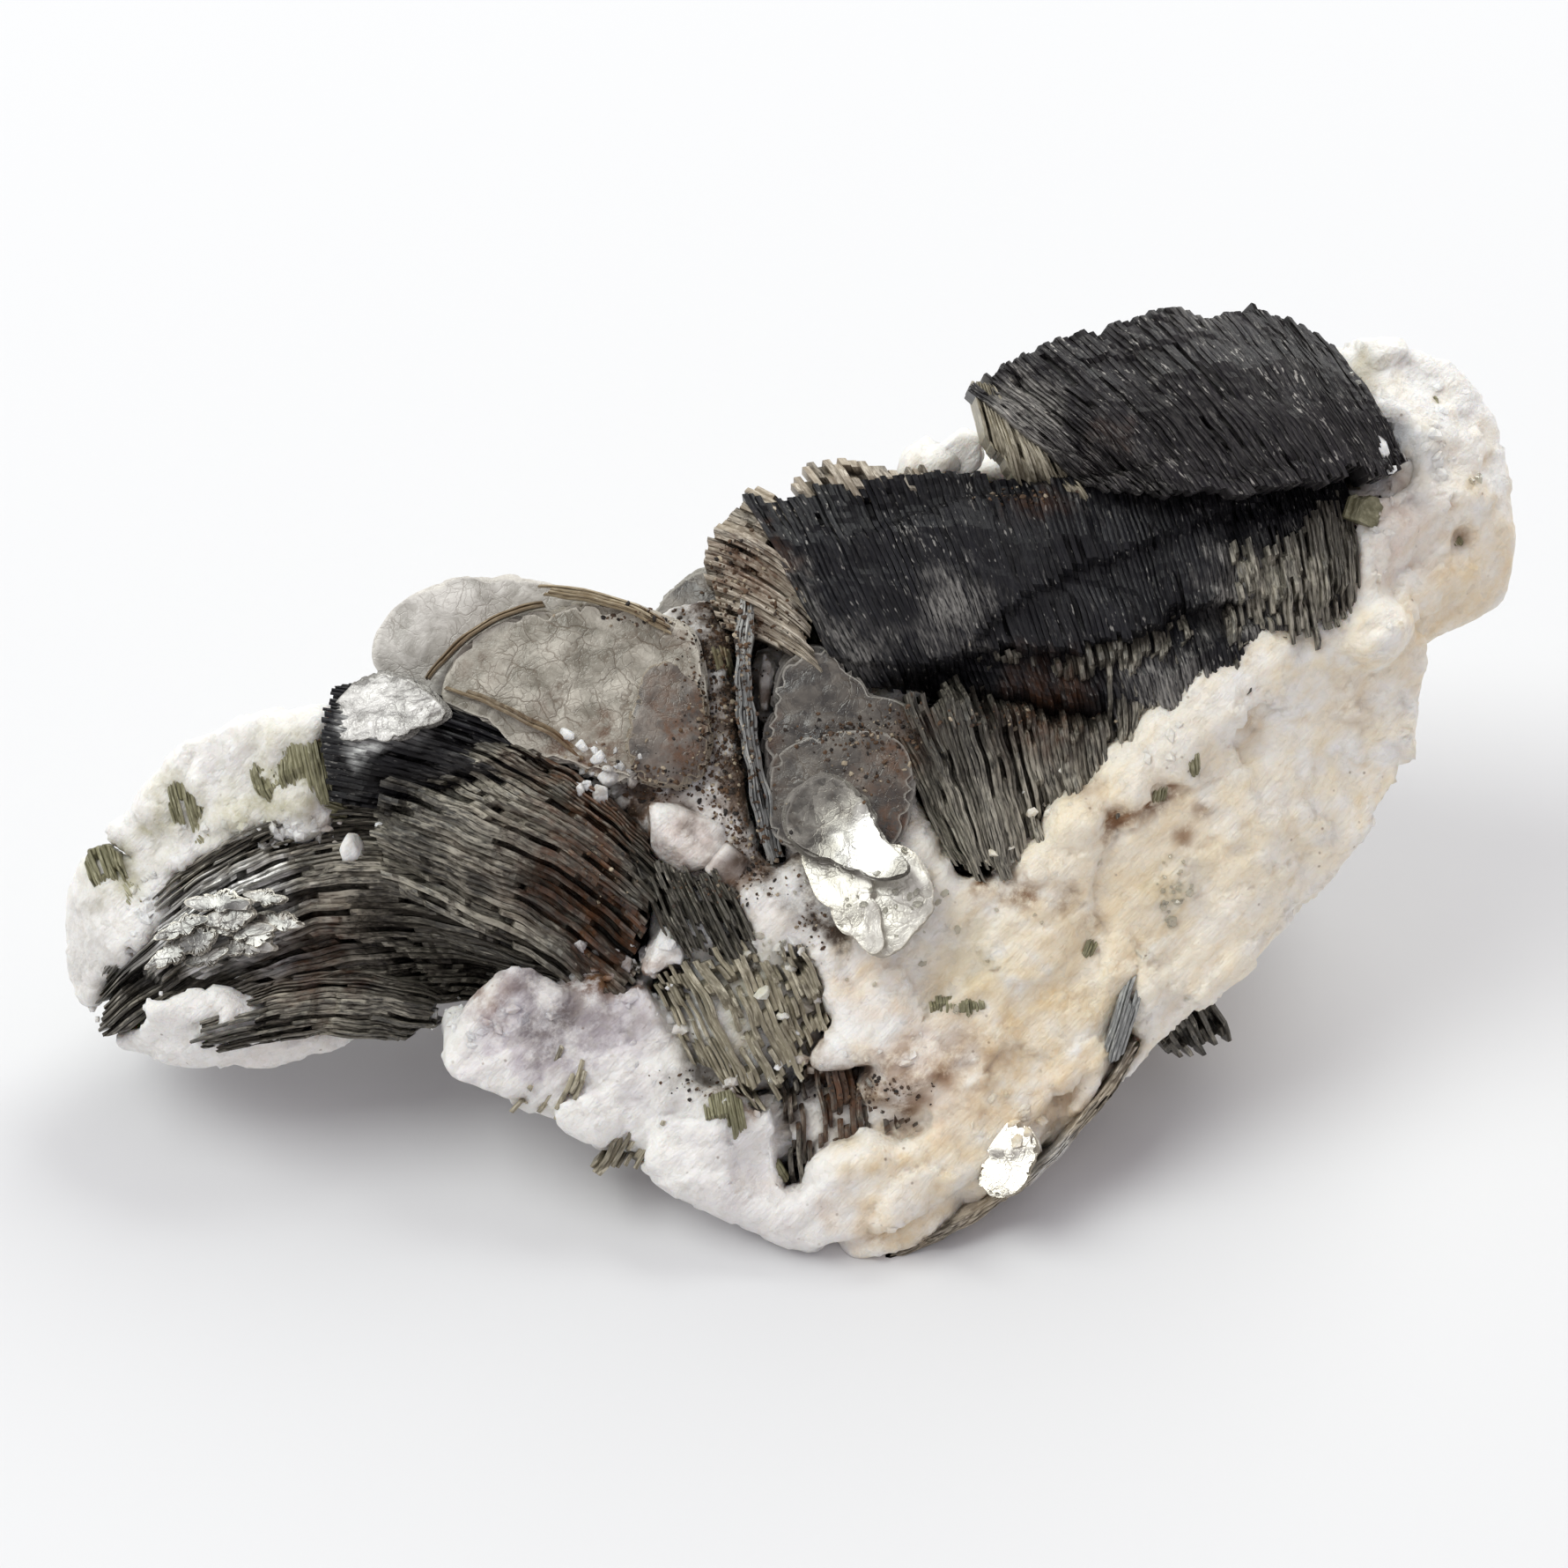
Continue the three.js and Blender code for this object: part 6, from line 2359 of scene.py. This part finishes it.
SWELLINGS = (
    Swelling(39.0, 10.2, 6.8, 3.0, 2.4, 3.6, 30),
    Swelling(8.6, -19.2, 8.2, 3.6, 2.0, 2.2, 20),
    Swelling(4.8, -25.0, 8.6, 3.4, 1.6, 2.2, 12),
    Swelling(16.4, -5.6, 7.0, 2.6, 1.6, 3.2, 45),
    Swelling(19.6, -2.6, 7.0, 3.0, 2.2, 3.6, 45),
    Swelling(22.8, 0.0, 7.0, 3.0, 2.6, 3.8, 48),
    Swelling(26.0, 2.6, 7.0, 3.4, 3.0, 4.0, 50),
    Swelling(28.4, 5.4, 7.0, 3.2, 3.2, 4.0, 50),
    Swelling(31.6, 7.8, 6.8, 3.4, 2.8, 3.6, 30),
    Swelling(35.4, 9.6, 6.4, 3.0, 2.4, 3.2, 20),
    Swelling(38.6, 12.4, 6.0, 1.6, 2.4, 3.4, 0),
    Swelling(-34.8, 2.6, 3.6, 3.6, 2.2, 3.0, 10),
    Swelling(-31.6, 3.4, 3.6, 2.6, 1.9, 3.0, 10),
    Swelling(-38.2, 0.6, 3.4, 3.0, 2.2, 2.8, 30),
    Swelling(-41.6, -2.0, 3.0, 2.4, 2.4, 2.6, 40),
    Swelling(-32.6, -1.2, 4.2, 2.4, 2.6, 2.8, 0),
    Swelling(-36.6, -2.2, 3.8, 2.8, 1.6, 2.8, 10),
    Swelling(24.4, -10.8, 6.2, 1.5, 2.6, 2.2, 0),
    Swelling(10.0, 21.4, 1.6, 2.0, 1.6, 2.2, 20),
    Swelling(24.0, -13.8, 5.8, 1.4, 2.8, 2.6, 0),
    Swelling(5.4, -30.6, 6.0, 2.0, 1.4, 2.8, 30),
    Swelling(8.6, -29.4, 5.6, 4.0, 0.9, 3.0, 35),
    Swelling(15.2, -24.8, 5.6, 4.6, 0.9, 3.0, 41),
    Swelling(20.4, -19.6, 5.6, 3.8, 0.9, 3.0, 62),
    Swelling(-1.0, -10.8, 6.0, 2.0, 2.0, 3.0, 0),
    Swelling(-15.4, -18.8, 6.2, 3.6, 3.0, 3.0, -30),
    Swelling(-9.4, -21.4, 6.4, 3.6, 3.0, 3.0, -30),
    Swelling(-12.6, -15.4, 5.6, 3.0, 3.0, 3.2, 0),
    Swelling(-3.0, -15.6, 5.6, 5.4, 4.6, 3.3, 0),
    Swelling(-5.2, -8.8, 5.0, 3.6, 3.8, 3.4, 0),
    Swelling(3.8, -22.4, 4.8, 5.0, 3.4, 3.2, 0),
    Swelling(7.6, -21.6, 5.2, 3.2, 2.8, 3.4, 0),
    Swelling(8.8, -25.0, 6.0, 3.2, 1.7, 3.4, 22),
)


DENTS = (
    Spot(39.4, 22.0, 3.4, 2.4, 9.2),
    Spot(41.6, 21.0, 2.0, 1.0, 8.0),
    Spot(43.0, 26.6, 1.3, 0.9, 8.0),
    Spot(45.2, 16.4, 1.2, 0.8, 6.0),
    Spot(40.4, 24.2, 1.5, 0.7, 9.0),
    Spot(43.8, 21.4, 1.8, 0.6, 7.0),
    Spot(41.0, 19.0, 2.0, 0.6, 9.0),
    Spot(44.6, 12.6, 1.6, 0.6, 5.0),
    Spot(39.6, 10.0, 2.2, 0.7, 7.0),
    Spot(21.6, -2.4, 1.8, 0.5, 9.0),
    Spot(23.8, -1.2, 1.5, 0.5, 9.0),
    Spot(27.0, 1.8, 1.6, 0.5, 9.5),
    Spot(15.6, -7.2, 1.8, 0.5, 9.5),
    Spot(20.6, -10.2, 1.6, 0.5, 9.0),
    Spot(9.4, -13.6, 2.2, 0.6, 9.8),
    Spot(12.0, -17.6, 2.0, 0.5, 9.6),
    Spot(-1.0, -25.0, 2.4, 0.7, 10.0),
    Spot(-6.4, -22.6, 2.0, 0.6, 9.6),
    Spot(-38.0, 0.6, 1.6, 0.7, 6.0),
    Spot(-35.6, 1.8, 1.4, 0.6, 6.4),
    Spot(-42.4, -3.6, 1.8, 0.6, 5.4),
)


@dataclass
class FeldsparRock:
    """The rock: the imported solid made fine, closed up round the books and broken rough."""

    finish: Finish
    voxel: float = 0.44  # size of the fine mesh
    swell: float = 0.3  # how far the rock closes up on the books
    lump: float = 0.15
    block: float = 0.42
    block_size: float = 5.0
    chip: float = 0.2
    chip_size: float = 2.0
    ledge: float = 0.6
    ledge_pitch: float = 4.2
    base: float = 0.6  # height over the table in which the relief dies away
    smoothing: int = 5

    def build(self) -> bpy.types.Object:
        """Builds and dresses the rock.

        Returns:
            The finished piece.
        """
        piece = self._fine_copy()
        self._smooth(piece.data)
        self._roughen(piece.data)
        tint(piece.data, ROCK_TINTS)
        self.finish.dress(piece, "feldspar")
        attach(piece, "root")
        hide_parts("rock")
        return piece

    def _fine_copy(self) -> bpy.types.Object:
        """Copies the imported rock, adds the swellings and remeshes it.

        Returns:
            The new object.
        """
        bm = bmesh.new()
        bm.from_mesh(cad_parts["rock"].data)
        bmesh.ops.remove_doubles(bm, verts=bm.verts, dist=1e-6)
        for mass in SWELLINGS:
            turn = Matrix.Rotation(math.radians(mass.turn), 4, "Z")
            size = Matrix.Diagonal((mass.half_x, mass.half_y, mass.half_z, 1.0))
            placing = ON_FACE @ Matrix.Translation((mass.x, mass.y, mass.z)) @ turn @ size
            bmesh.ops.create_icosphere(bm, subdivisions=3, radius=1.0, matrix=placing)
        mesh = bpy.data.meshes.new("rock_coarse")
        bm.to_mesh(mesh)
        bm.free()
        coarse = bpy.data.objects.new("rock_coarse", mesh)
        bpy.context.scene.collection.objects.link(coarse)
        remesh = coarse.modifiers.new("fine", "REMESH")
        remesh.mode = "VOXEL"
        remesh.voxel_size = self.voxel * MM
        bpy.context.view_layer.update()
        fine = bpy.data.meshes.new_from_object(coarse.evaluated_get(bpy.context.evaluated_depsgraph_get()))
        fine.name = "feldspar_rock"
        bpy.data.objects.remove(coarse)
        piece = bpy.data.objects.new("feldspar_rock", fine)
        bpy.context.scene.collection.objects.link(piece)
        return piece

    def _smooth(self, mesh: bpy.types.Mesh) -> None:
        """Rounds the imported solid's facets.

        Args:
            mesh: The fine mesh.
        """
        bm = bmesh.new()
        bm.from_mesh(mesh)
        for _ in range(self.smoothing):
            bmesh.ops.smooth_vert(bm, verts=bm.verts, factor=0.5, use_axis_x=True, use_axis_y=True, use_axis_z=True)
        for face in bm.faces:
            face.smooth = True
        bm.to_mesh(mesh)
        bm.free()

    def _roughen(self, mesh: bpy.types.Mesh) -> None:
        """Breaks the surface into blocks, ledges and chips, and keeps the break below flat.

        Args:
            mesh: The fine mesh.
        """
        points = face_points(mesh)
        normals = np.zeros(len(mesh.vertices) * 3)
        mesh.vertices.foreach_get("normal", normals)
        normals = normals.reshape(-1, 3)
        flat = np.zeros(len(mesh.vertices) * 3)
        mesh.vertices.foreach_get("co", flat)
        world = flat.reshape(-1, 3)
        warped = points + 0.6 * np.stack([noise_over(points, 2.0, 3.0 + 9 * k) for k in range(3)], axis=-1)
        lumps = noise_over(points, 6.0, 5.0)
        climb = points @ np.array((-0.42, 0.86, 0.30)) + 1.8 * noise_over(points, 7.0, 21.0)
        saw = (climb / self.ledge_pitch) % 1.0
        broken = np.clip(noise_over(points, 8.0, 33.0) + 0.25, 0, 1)
        relief = self.swell + self.lump * lumps + self.ledge * (saw - 0.5) * broken
        relief += self.block * blocks_over(warped, self.block_size, 2.0)
        relief += self.chip * blocks_over(warped, self.chip_size, 8.0)
        relief += 0.05 * noise_over(points, 0.8, 14.0)
        for dent in DENTS:
            away = np.linalg.norm(points - np.array((dent.x, dent.y, dent.z)), axis=1) / dent.reach
            relief -= dent.strength * np.clip(1.6 * (1 - away), 0, 1)
        fade = np.clip(world[:, 2] / (self.base * MM), 0, 1)
        moved = world + normals * (relief * fade * MM)[:, None]
        moved[:, 2] = np.maximum(moved[:, 2], 0.0)
        mesh.vertices.foreach_set("co", moved.ravel())
        mesh.update()


@dataclass(frozen=True)
class BlockSite:
    """A loose-looking block of feldspar: its middle, its sizes in face millimetres and its turn."""

    x: float
    y: float
    size_x: float
    size_y: float
    size_z: float
    turn: float
    proud: float  # how far its middle lies over what stands there


class FeldsparBlocks:
    """Blocks and grains of feldspar that stand on the rock and between the books."""

    SITES = (
        BlockSite(-6.4, -3.8, 5.6, 5.2, 3.4, 12, 0.5),
        BlockSite(-3.6, -5.4, 3.2, 2.8, 2.6, 40, 0.2),
        BlockSite(-28.8, -4.2, 1.6, 2.2, 2.2, 15, 0.4),
        BlockSite(-12.4, 1.7, 1.2, 0.8, 0.9, 10, 0.1),
        BlockSite(-13.4, 2.5, 0.8, 1.2, 0.9, 40, 0.1),
        BlockSite(-14.4, 3.3, 1.3, 0.8, 0.8, -20, 0.1),
        BlockSite(-11.6, 0.4, 1.7, 1.1, 1.1, 30, 0.1),
        BlockSite(-12.2, -0.7, 1.1, 1.5, 1.1, -10, 0.1),
        BlockSite(-10.8, -1.3, 1.6, 1.0, 1.1, 25, 0.1),
        BlockSite(-10.0, 0.3, 1.1, 0.8, 0.9, 60, 0.1),
        BlockSite(-13.2, 0.9, 0.9, 0.7, 0.7, 15, 0.1),
        BlockSite(11.8, 22.4, 4.6, 3.2, 2.6, 30, 0.0),
    )

    def __init__(self, finish: Finish, seed: int = 601) -> None:
        """Starts the random draws.

        Args:
            finish: The blocks' finish.
            seed: Start of the random draws.
        """
        self.finish = finish
        self.random = random.Random(seed)

    def build(self, ground: Ground) -> bpy.types.Object:
        """Builds and dresses the blocks.

        Args:
            ground: What they stand on.

        Returns:
            The finished piece.
        """
        bm = bmesh.new()
        for number, site in enumerate(self.SITES):
            hit = ground.below(site.x, site.y)
            if hit is not None:
                self._add(bm, site, (OFF_FACE @ hit).z + site.proud - 0.25 * site.size_z, number)
        piece = new_piece("feldspar_blocks", bm)
        tint(piece.data, ROCK_TINTS)
        self.finish.dress(piece, "feldspar")
        return piece

    def _ways(self) -> list[tuple[float, float, float]]:
        """Draws the ways that a block's faces look: six nearly square and some askew."""
        square = [(1, 0, 0), (-1, 0, 0), (0, 1, 0), (0, -1, 0), (0, 0, 1), (0, 0, -1)]
        ways = [tuple(c + self.random.uniform(-0.28, 0.28) for c in way) for way in square]
        return ways + [tuple(self.random.gauss(0, 1) for _ in range(3)) for _ in range(7)]

    def _add(self, bm: bmesh.types.BMesh, site: BlockSite, height: float, number: int) -> None:
        """Adds one block.

        Args:
            bm: The shape.
            site: Its place and size.
            height: The height of its middle.
            number: Its number, which gives its noise.
        """
        block = bmesh.new()
        bmesh.ops.create_icosphere(block, subdivisions=4 if site.size_x > 3 else 3, radius=1.0)
        faces = [Vector(way).normalized() for way in self._ways()]
        reaches = [self.random.uniform(0.36, 0.5) for _ in faces]
        for vert in block.verts:
            way = vert.co.normalized()
            reach = min(r / max(way.dot(face), 0.05) for face, r in zip(faces, reaches))
            reach *= 1 + 0.05 * noise.noise(way * 2.4 + Vector((number * 3.1, 0, 0)))
            vert.co = Vector((way.x * site.size_x, way.y * site.size_y, way.z * site.size_z)) * reach
        bmesh.ops.smooth_vert(block, verts=block.verts, factor=0.2, use_axis_x=True, use_axis_y=True, use_axis_z=True)
        tip = Matrix.Rotation(self.random.uniform(-0.3, 0.3), 4, "X") @ Matrix.Rotation(self.random.uniform(-0.3, 0.3), 4, "Y")
        placing = Matrix.Translation((site.x, site.y, height)) @ tip @ Matrix.Rotation(math.radians(site.turn), 4, "Z")
        bmesh.ops.transform(block, matrix=ON_FACE @ placing, verts=block.verts)
        for face in block.faces:
            face.smooth = True
        mesh = bpy.data.meshes.new("block")
        block.to_mesh(mesh)
        block.free()
        bm.from_mesh(mesh)
        bpy.data.meshes.remove(mesh)


# --- studio ---------------------------------------------------------------------------------------


@dataclass(frozen=True)
class Lamp:
    """A square soft lamp that faces the specimen: the way to it, its size, its power and how far off it is."""

    way: tuple[float, float, float]
    size: float
    power: float
    distance: float = 1.6


@dataclass
class Studio:
    """A pale floor, soft light and the camera."""

    floor_half: float = 3.0
    camera_elevation_deg: float = 42.0
    camera_distance: float = 0.210
    target_height: float = 0.018
    lens: float = 70.0
    sensor: float = 36.0
    lamps: tuple[Lamp, ...] = (Lamp((-0.58, 0.0, 0.8), 1.05, 15.2), Lamp((0.36, 0.6, 0.71), 0.9, 13.4))
    sky: float = 0.6

    def build(self) -> None:
        """Builds the floor, the lights and the camera."""
        self._floor()
        self._lights()
        self._camera()
        bpy.context.scene.view_settings.view_transform = "Standard"

    def _floor(self) -> None:
        """Builds the floor."""
        bm = bmesh.new()
        bmesh.ops.create_grid(bm, x_segments=1, y_segments=1, size=self.floor_half)
        mesh = bpy.data.meshes.new("floor")
        bm.to_mesh(mesh)
        bm.free()
        floor = bpy.data.objects.new("floor", mesh)
        bpy.context.scene.collection.objects.link(floor)
        material = bpy.data.materials.new("floor")
        material.use_nodes = True
        sketch = Sketch(material.node_tree)
        shader = sketch.add("BsdfPrincipled", {"Base Color": (0.695, 0.695, 0.705, 1.0), "Roughness": 0.8, "Specular IOR Level": 0.2})
        sketch.add("OutputMaterial", {"Surface": shader.outputs[0]})
        mesh.materials.append(material)

    def _lights(self) -> None:
        """Builds the soft light overhead and the pale surroundings."""
        world = bpy.data.worlds.new("surroundings")
        bpy.context.scene.world = world
        world.use_nodes = True
        background = next(n for n in world.node_tree.nodes if n.type == "BACKGROUND")
        background.inputs["Color"].default_value = (0.99, 0.95, 1.0, 1.0)
        background.inputs["Strength"].default_value = self.sky
        for number, lamp in enumerate(self.lamps):
            light = bpy.data.lights.new(f"lamp_{number}", "AREA")
            light.shape = "SQUARE"
            light.size = lamp.size
            light.energy = lamp.power
            light.color = (0.99, 1.03, 0.985)
            holder = bpy.data.objects.new(f"lamp_{number}", light)
            bpy.context.scene.collection.objects.link(holder)
            way = Vector(lamp.way).normalized()
            holder.location = way * lamp.distance
            holder.rotation_euler = way.to_track_quat("Z", "Y").to_euler()

    def _camera(self) -> None:
        """Builds the camera."""
        camera = bpy.data.cameras.new("camera")
        camera.lens = self.lens
        camera.sensor_width = self.sensor
        camera.clip_start = 0.01
        holder = bpy.data.objects.new("camera", camera)
        bpy.context.scene.collection.objects.link(holder)
        lift = math.radians(self.camera_elevation_deg)
        away = Vector((0.0, -math.cos(lift), math.sin(lift)))
        target = Vector((0.0, 0.0, self.target_height))
        holder.location = target + away * self.camera_distance
        holder.rotation_euler = away.to_track_quat("Z", "Y").to_euler()
        bpy.context.scene.camera = holder


# --- specimen -------------------------------------------------------------------------------------


@dataclass
class Specimen:
    """The whole specimen."""

    pieces: list[bpy.types.Object] = field(default_factory=list)

    def build(self) -> None:
        """Builds every piece in order."""
        groups = SharedGroups()
        dark = SheetEdgeFinish("dark_mica_edges", groups, EdgeColours(srgb(8, 8, 12), srgb(31, 31, 36), srgb(150, 147, 142), paleness=0.14, scratches=0.8, gloss=0.14))
        purple = SheetEdgeFinish(
            "purple_mica_edges", groups,
            EdgeColours(srgb(11, 10, 13), srgb(42, 39, 44), srgb(168, 164, 158), paleness=0.24, scratches=0.9, gloss=0.16),
        )
        fan = SheetEdgeFinish("fanned_mica_edges", groups, EdgeColours(srgb(50, 43, 35), srgb(172, 157, 135), srgb(226, 216, 198), paleness=0.6))
        brown = SheetEdgeFinish(
            "brown_mica_edges", groups,
            EdgeColours(srgb(15, 13, 12), srgb(74, 70, 62), srgb(174, 168, 153), paleness=0.4, roughness=0.4),
        )
        grey = SheetEdgeFinish(
            "green_mica_edges", groups,
            EdgeColours(srgb(72, 65, 50), srgb(158, 149, 126), srgb(214, 206, 184), paleness=0.5, roughness=0.4),
        )
        thin = SheetEdgeFinish(
            "thin_mica_edge", groups,
            EdgeColours(
                srgb(58, 60, 60), srgb(142, 144, 142), srgb(210, 210, 205), rust=srgb(104, 98, 90), paleness=0.55, roughness=0.3, gloss=0.5
            ),
        )
        stained = SheetEdgeFinish(
            "stained_mica_edge", groups,
            EdgeColours(srgb(112, 92, 64), srgb(168, 152, 122), srgb(206, 196, 172), paleness=0.5, roughness=0.4),
        )
        disc = SheetFaceFinish(
            "pale_mica_face", PlateColours(srgb(122, 116, 102), srgb(198, 192, 178), crack_strength=0.7, crinkle=0.32, patches=0.2)
        )
        dusky = SheetFaceFinish(
            "dusky_mica_face",
            PlateColours(srgb(56, 51, 45), srgb(130, 121, 111), rim=srgb(160, 146, 122), crack_strength=0.5, crinkle=0.34, patches=0.25),
        )
        back = SheetFaceFinish("clear_mica_face", PlateColours(srgb(158, 154, 145), srgb(216, 212, 205), rim=srgb(226, 222, 214), crack_strength=0.4, patches=0.15))
        silver = SheetFaceFinish(
            "silver_mica_face",
            PlateColours(srgb(150, 145, 136), srgb(226, 222, 212), metallic=0.7, roughness=0.2, crack_strength=0.35, crinkle=0.1),
        )
        bright = SheetFaceFinish(
            "bright_mica_face",
            PlateColours(srgb(186, 182, 170), srgb(238, 235, 226), metallic=0.35, roughness=0.24, crack_strength=0.4, crinkle=0.14),
        )
        # The streaky face paints a near-white highlight where the silver tint lies.
        streaky = SheetFaceFinish(
            "streaky_mica_face",
            PlateColours(
                srgb(120, 117, 112), srgb(240, 238, 233), rim=srgb(120, 116, 108), metallic=0.4, roughness=0.26, crack_strength=0.2,
                crinkle=0.5, stretch=3.2, painted_highlight=0.7,
            ),
        )
        # The mirror face paints a near-white highlight where the silver tint lies.
        mirror = SheetFaceFinish(
            "mirror_mica_face",
            PlateColours(srgb(84, 81, 75), srgb(170, 166, 156), metallic=0.5, roughness=0.22, crack_strength=0.2, crinkle=0.1, rim=srgb(150, 146, 138), painted_highlight=1.0),
        )
        rim_stain = SheetEdgeFinish(
            "brown_rim_edge", groups,
            EdgeColours(srgb(72, 56, 38), srgb(124, 104, 76), srgb(186, 172, 144), paleness=0.4, roughness=0.4),
        )
        smoky = SheetFaceFinish("smoky_mica_face", PlateColours(srgb(50, 46, 41), srgb(112, 105, 95), rim=srgb(170, 166, 156), crinkle=0.3))
        feldspar = FeldsparFinish(groups, RockColours())
        rock = self._keep(FeldsparRock(feldspar).build())
        crumpled = SheetFaceFinish(
            "crumpled_mica_face",
            PlateColours(srgb(96, 95, 92), srgb(196, 195, 190), metallic=0.45, roughness=0.26, crack_strength=0.2, crinkle=0.2),
        )
        books = [self._keep(book.build()) for book in book_list(dark, purple, brown, grey, thin, fan, stained) + strip_list(stained, rim_stain)]
        plates = [self._keep(plate.build()) for plate in plate_list(disc, dusky, back, silver, mirror, bright, streaky, smoky, crumpled)]
        olive = SheetEdgeFinish("olive_mica_edges", groups, EdgeColours(srgb(74, 71, 48), srgb(134, 130, 98), srgb(190, 186, 156), paleness=0.5))
        self._keep(PocketCrystals(olive, rock).build())
        ground = Ground([rock, *books, *plates])
        self._keep(FeldsparBlocks(feldspar).build(ground))
        self._keep(Grains("iron_crumbs", "grey_mica", IRON_ZONES, GrainSizes(0.05, 0.2), IronCrumbFinish(), 501).build(ground))
        self._keep(Grains("feldspar_grains", "feldspar", PALE_ZONES, GrainSizes(0.16, 0.6, sunk=0.2), feldspar, 503).build(ground))
        self._keep(Grains("clear_grains", "feldspar", CLEAR_ZONES, GrainSizes(0.14, 0.42, 0.2), ClearGrainFinish(), 505).build(ground))

    def _keep(self, piece: bpy.types.Object) -> bpy.types.Object:
        """Keeps and reports a finished piece.

        Args:
            piece: The piece.

        Returns:
            The same piece.
        """
        report(piece)
        self.pieces.append(piece)
        return piece


def main() -> None:
    """Builds the studio and the specimen."""
    logging.basicConfig(level=logging.INFO, format="%(name)s %(message)s")
    Studio().build()
    Specimen().build()


if __name__ == "__main__":
    main()
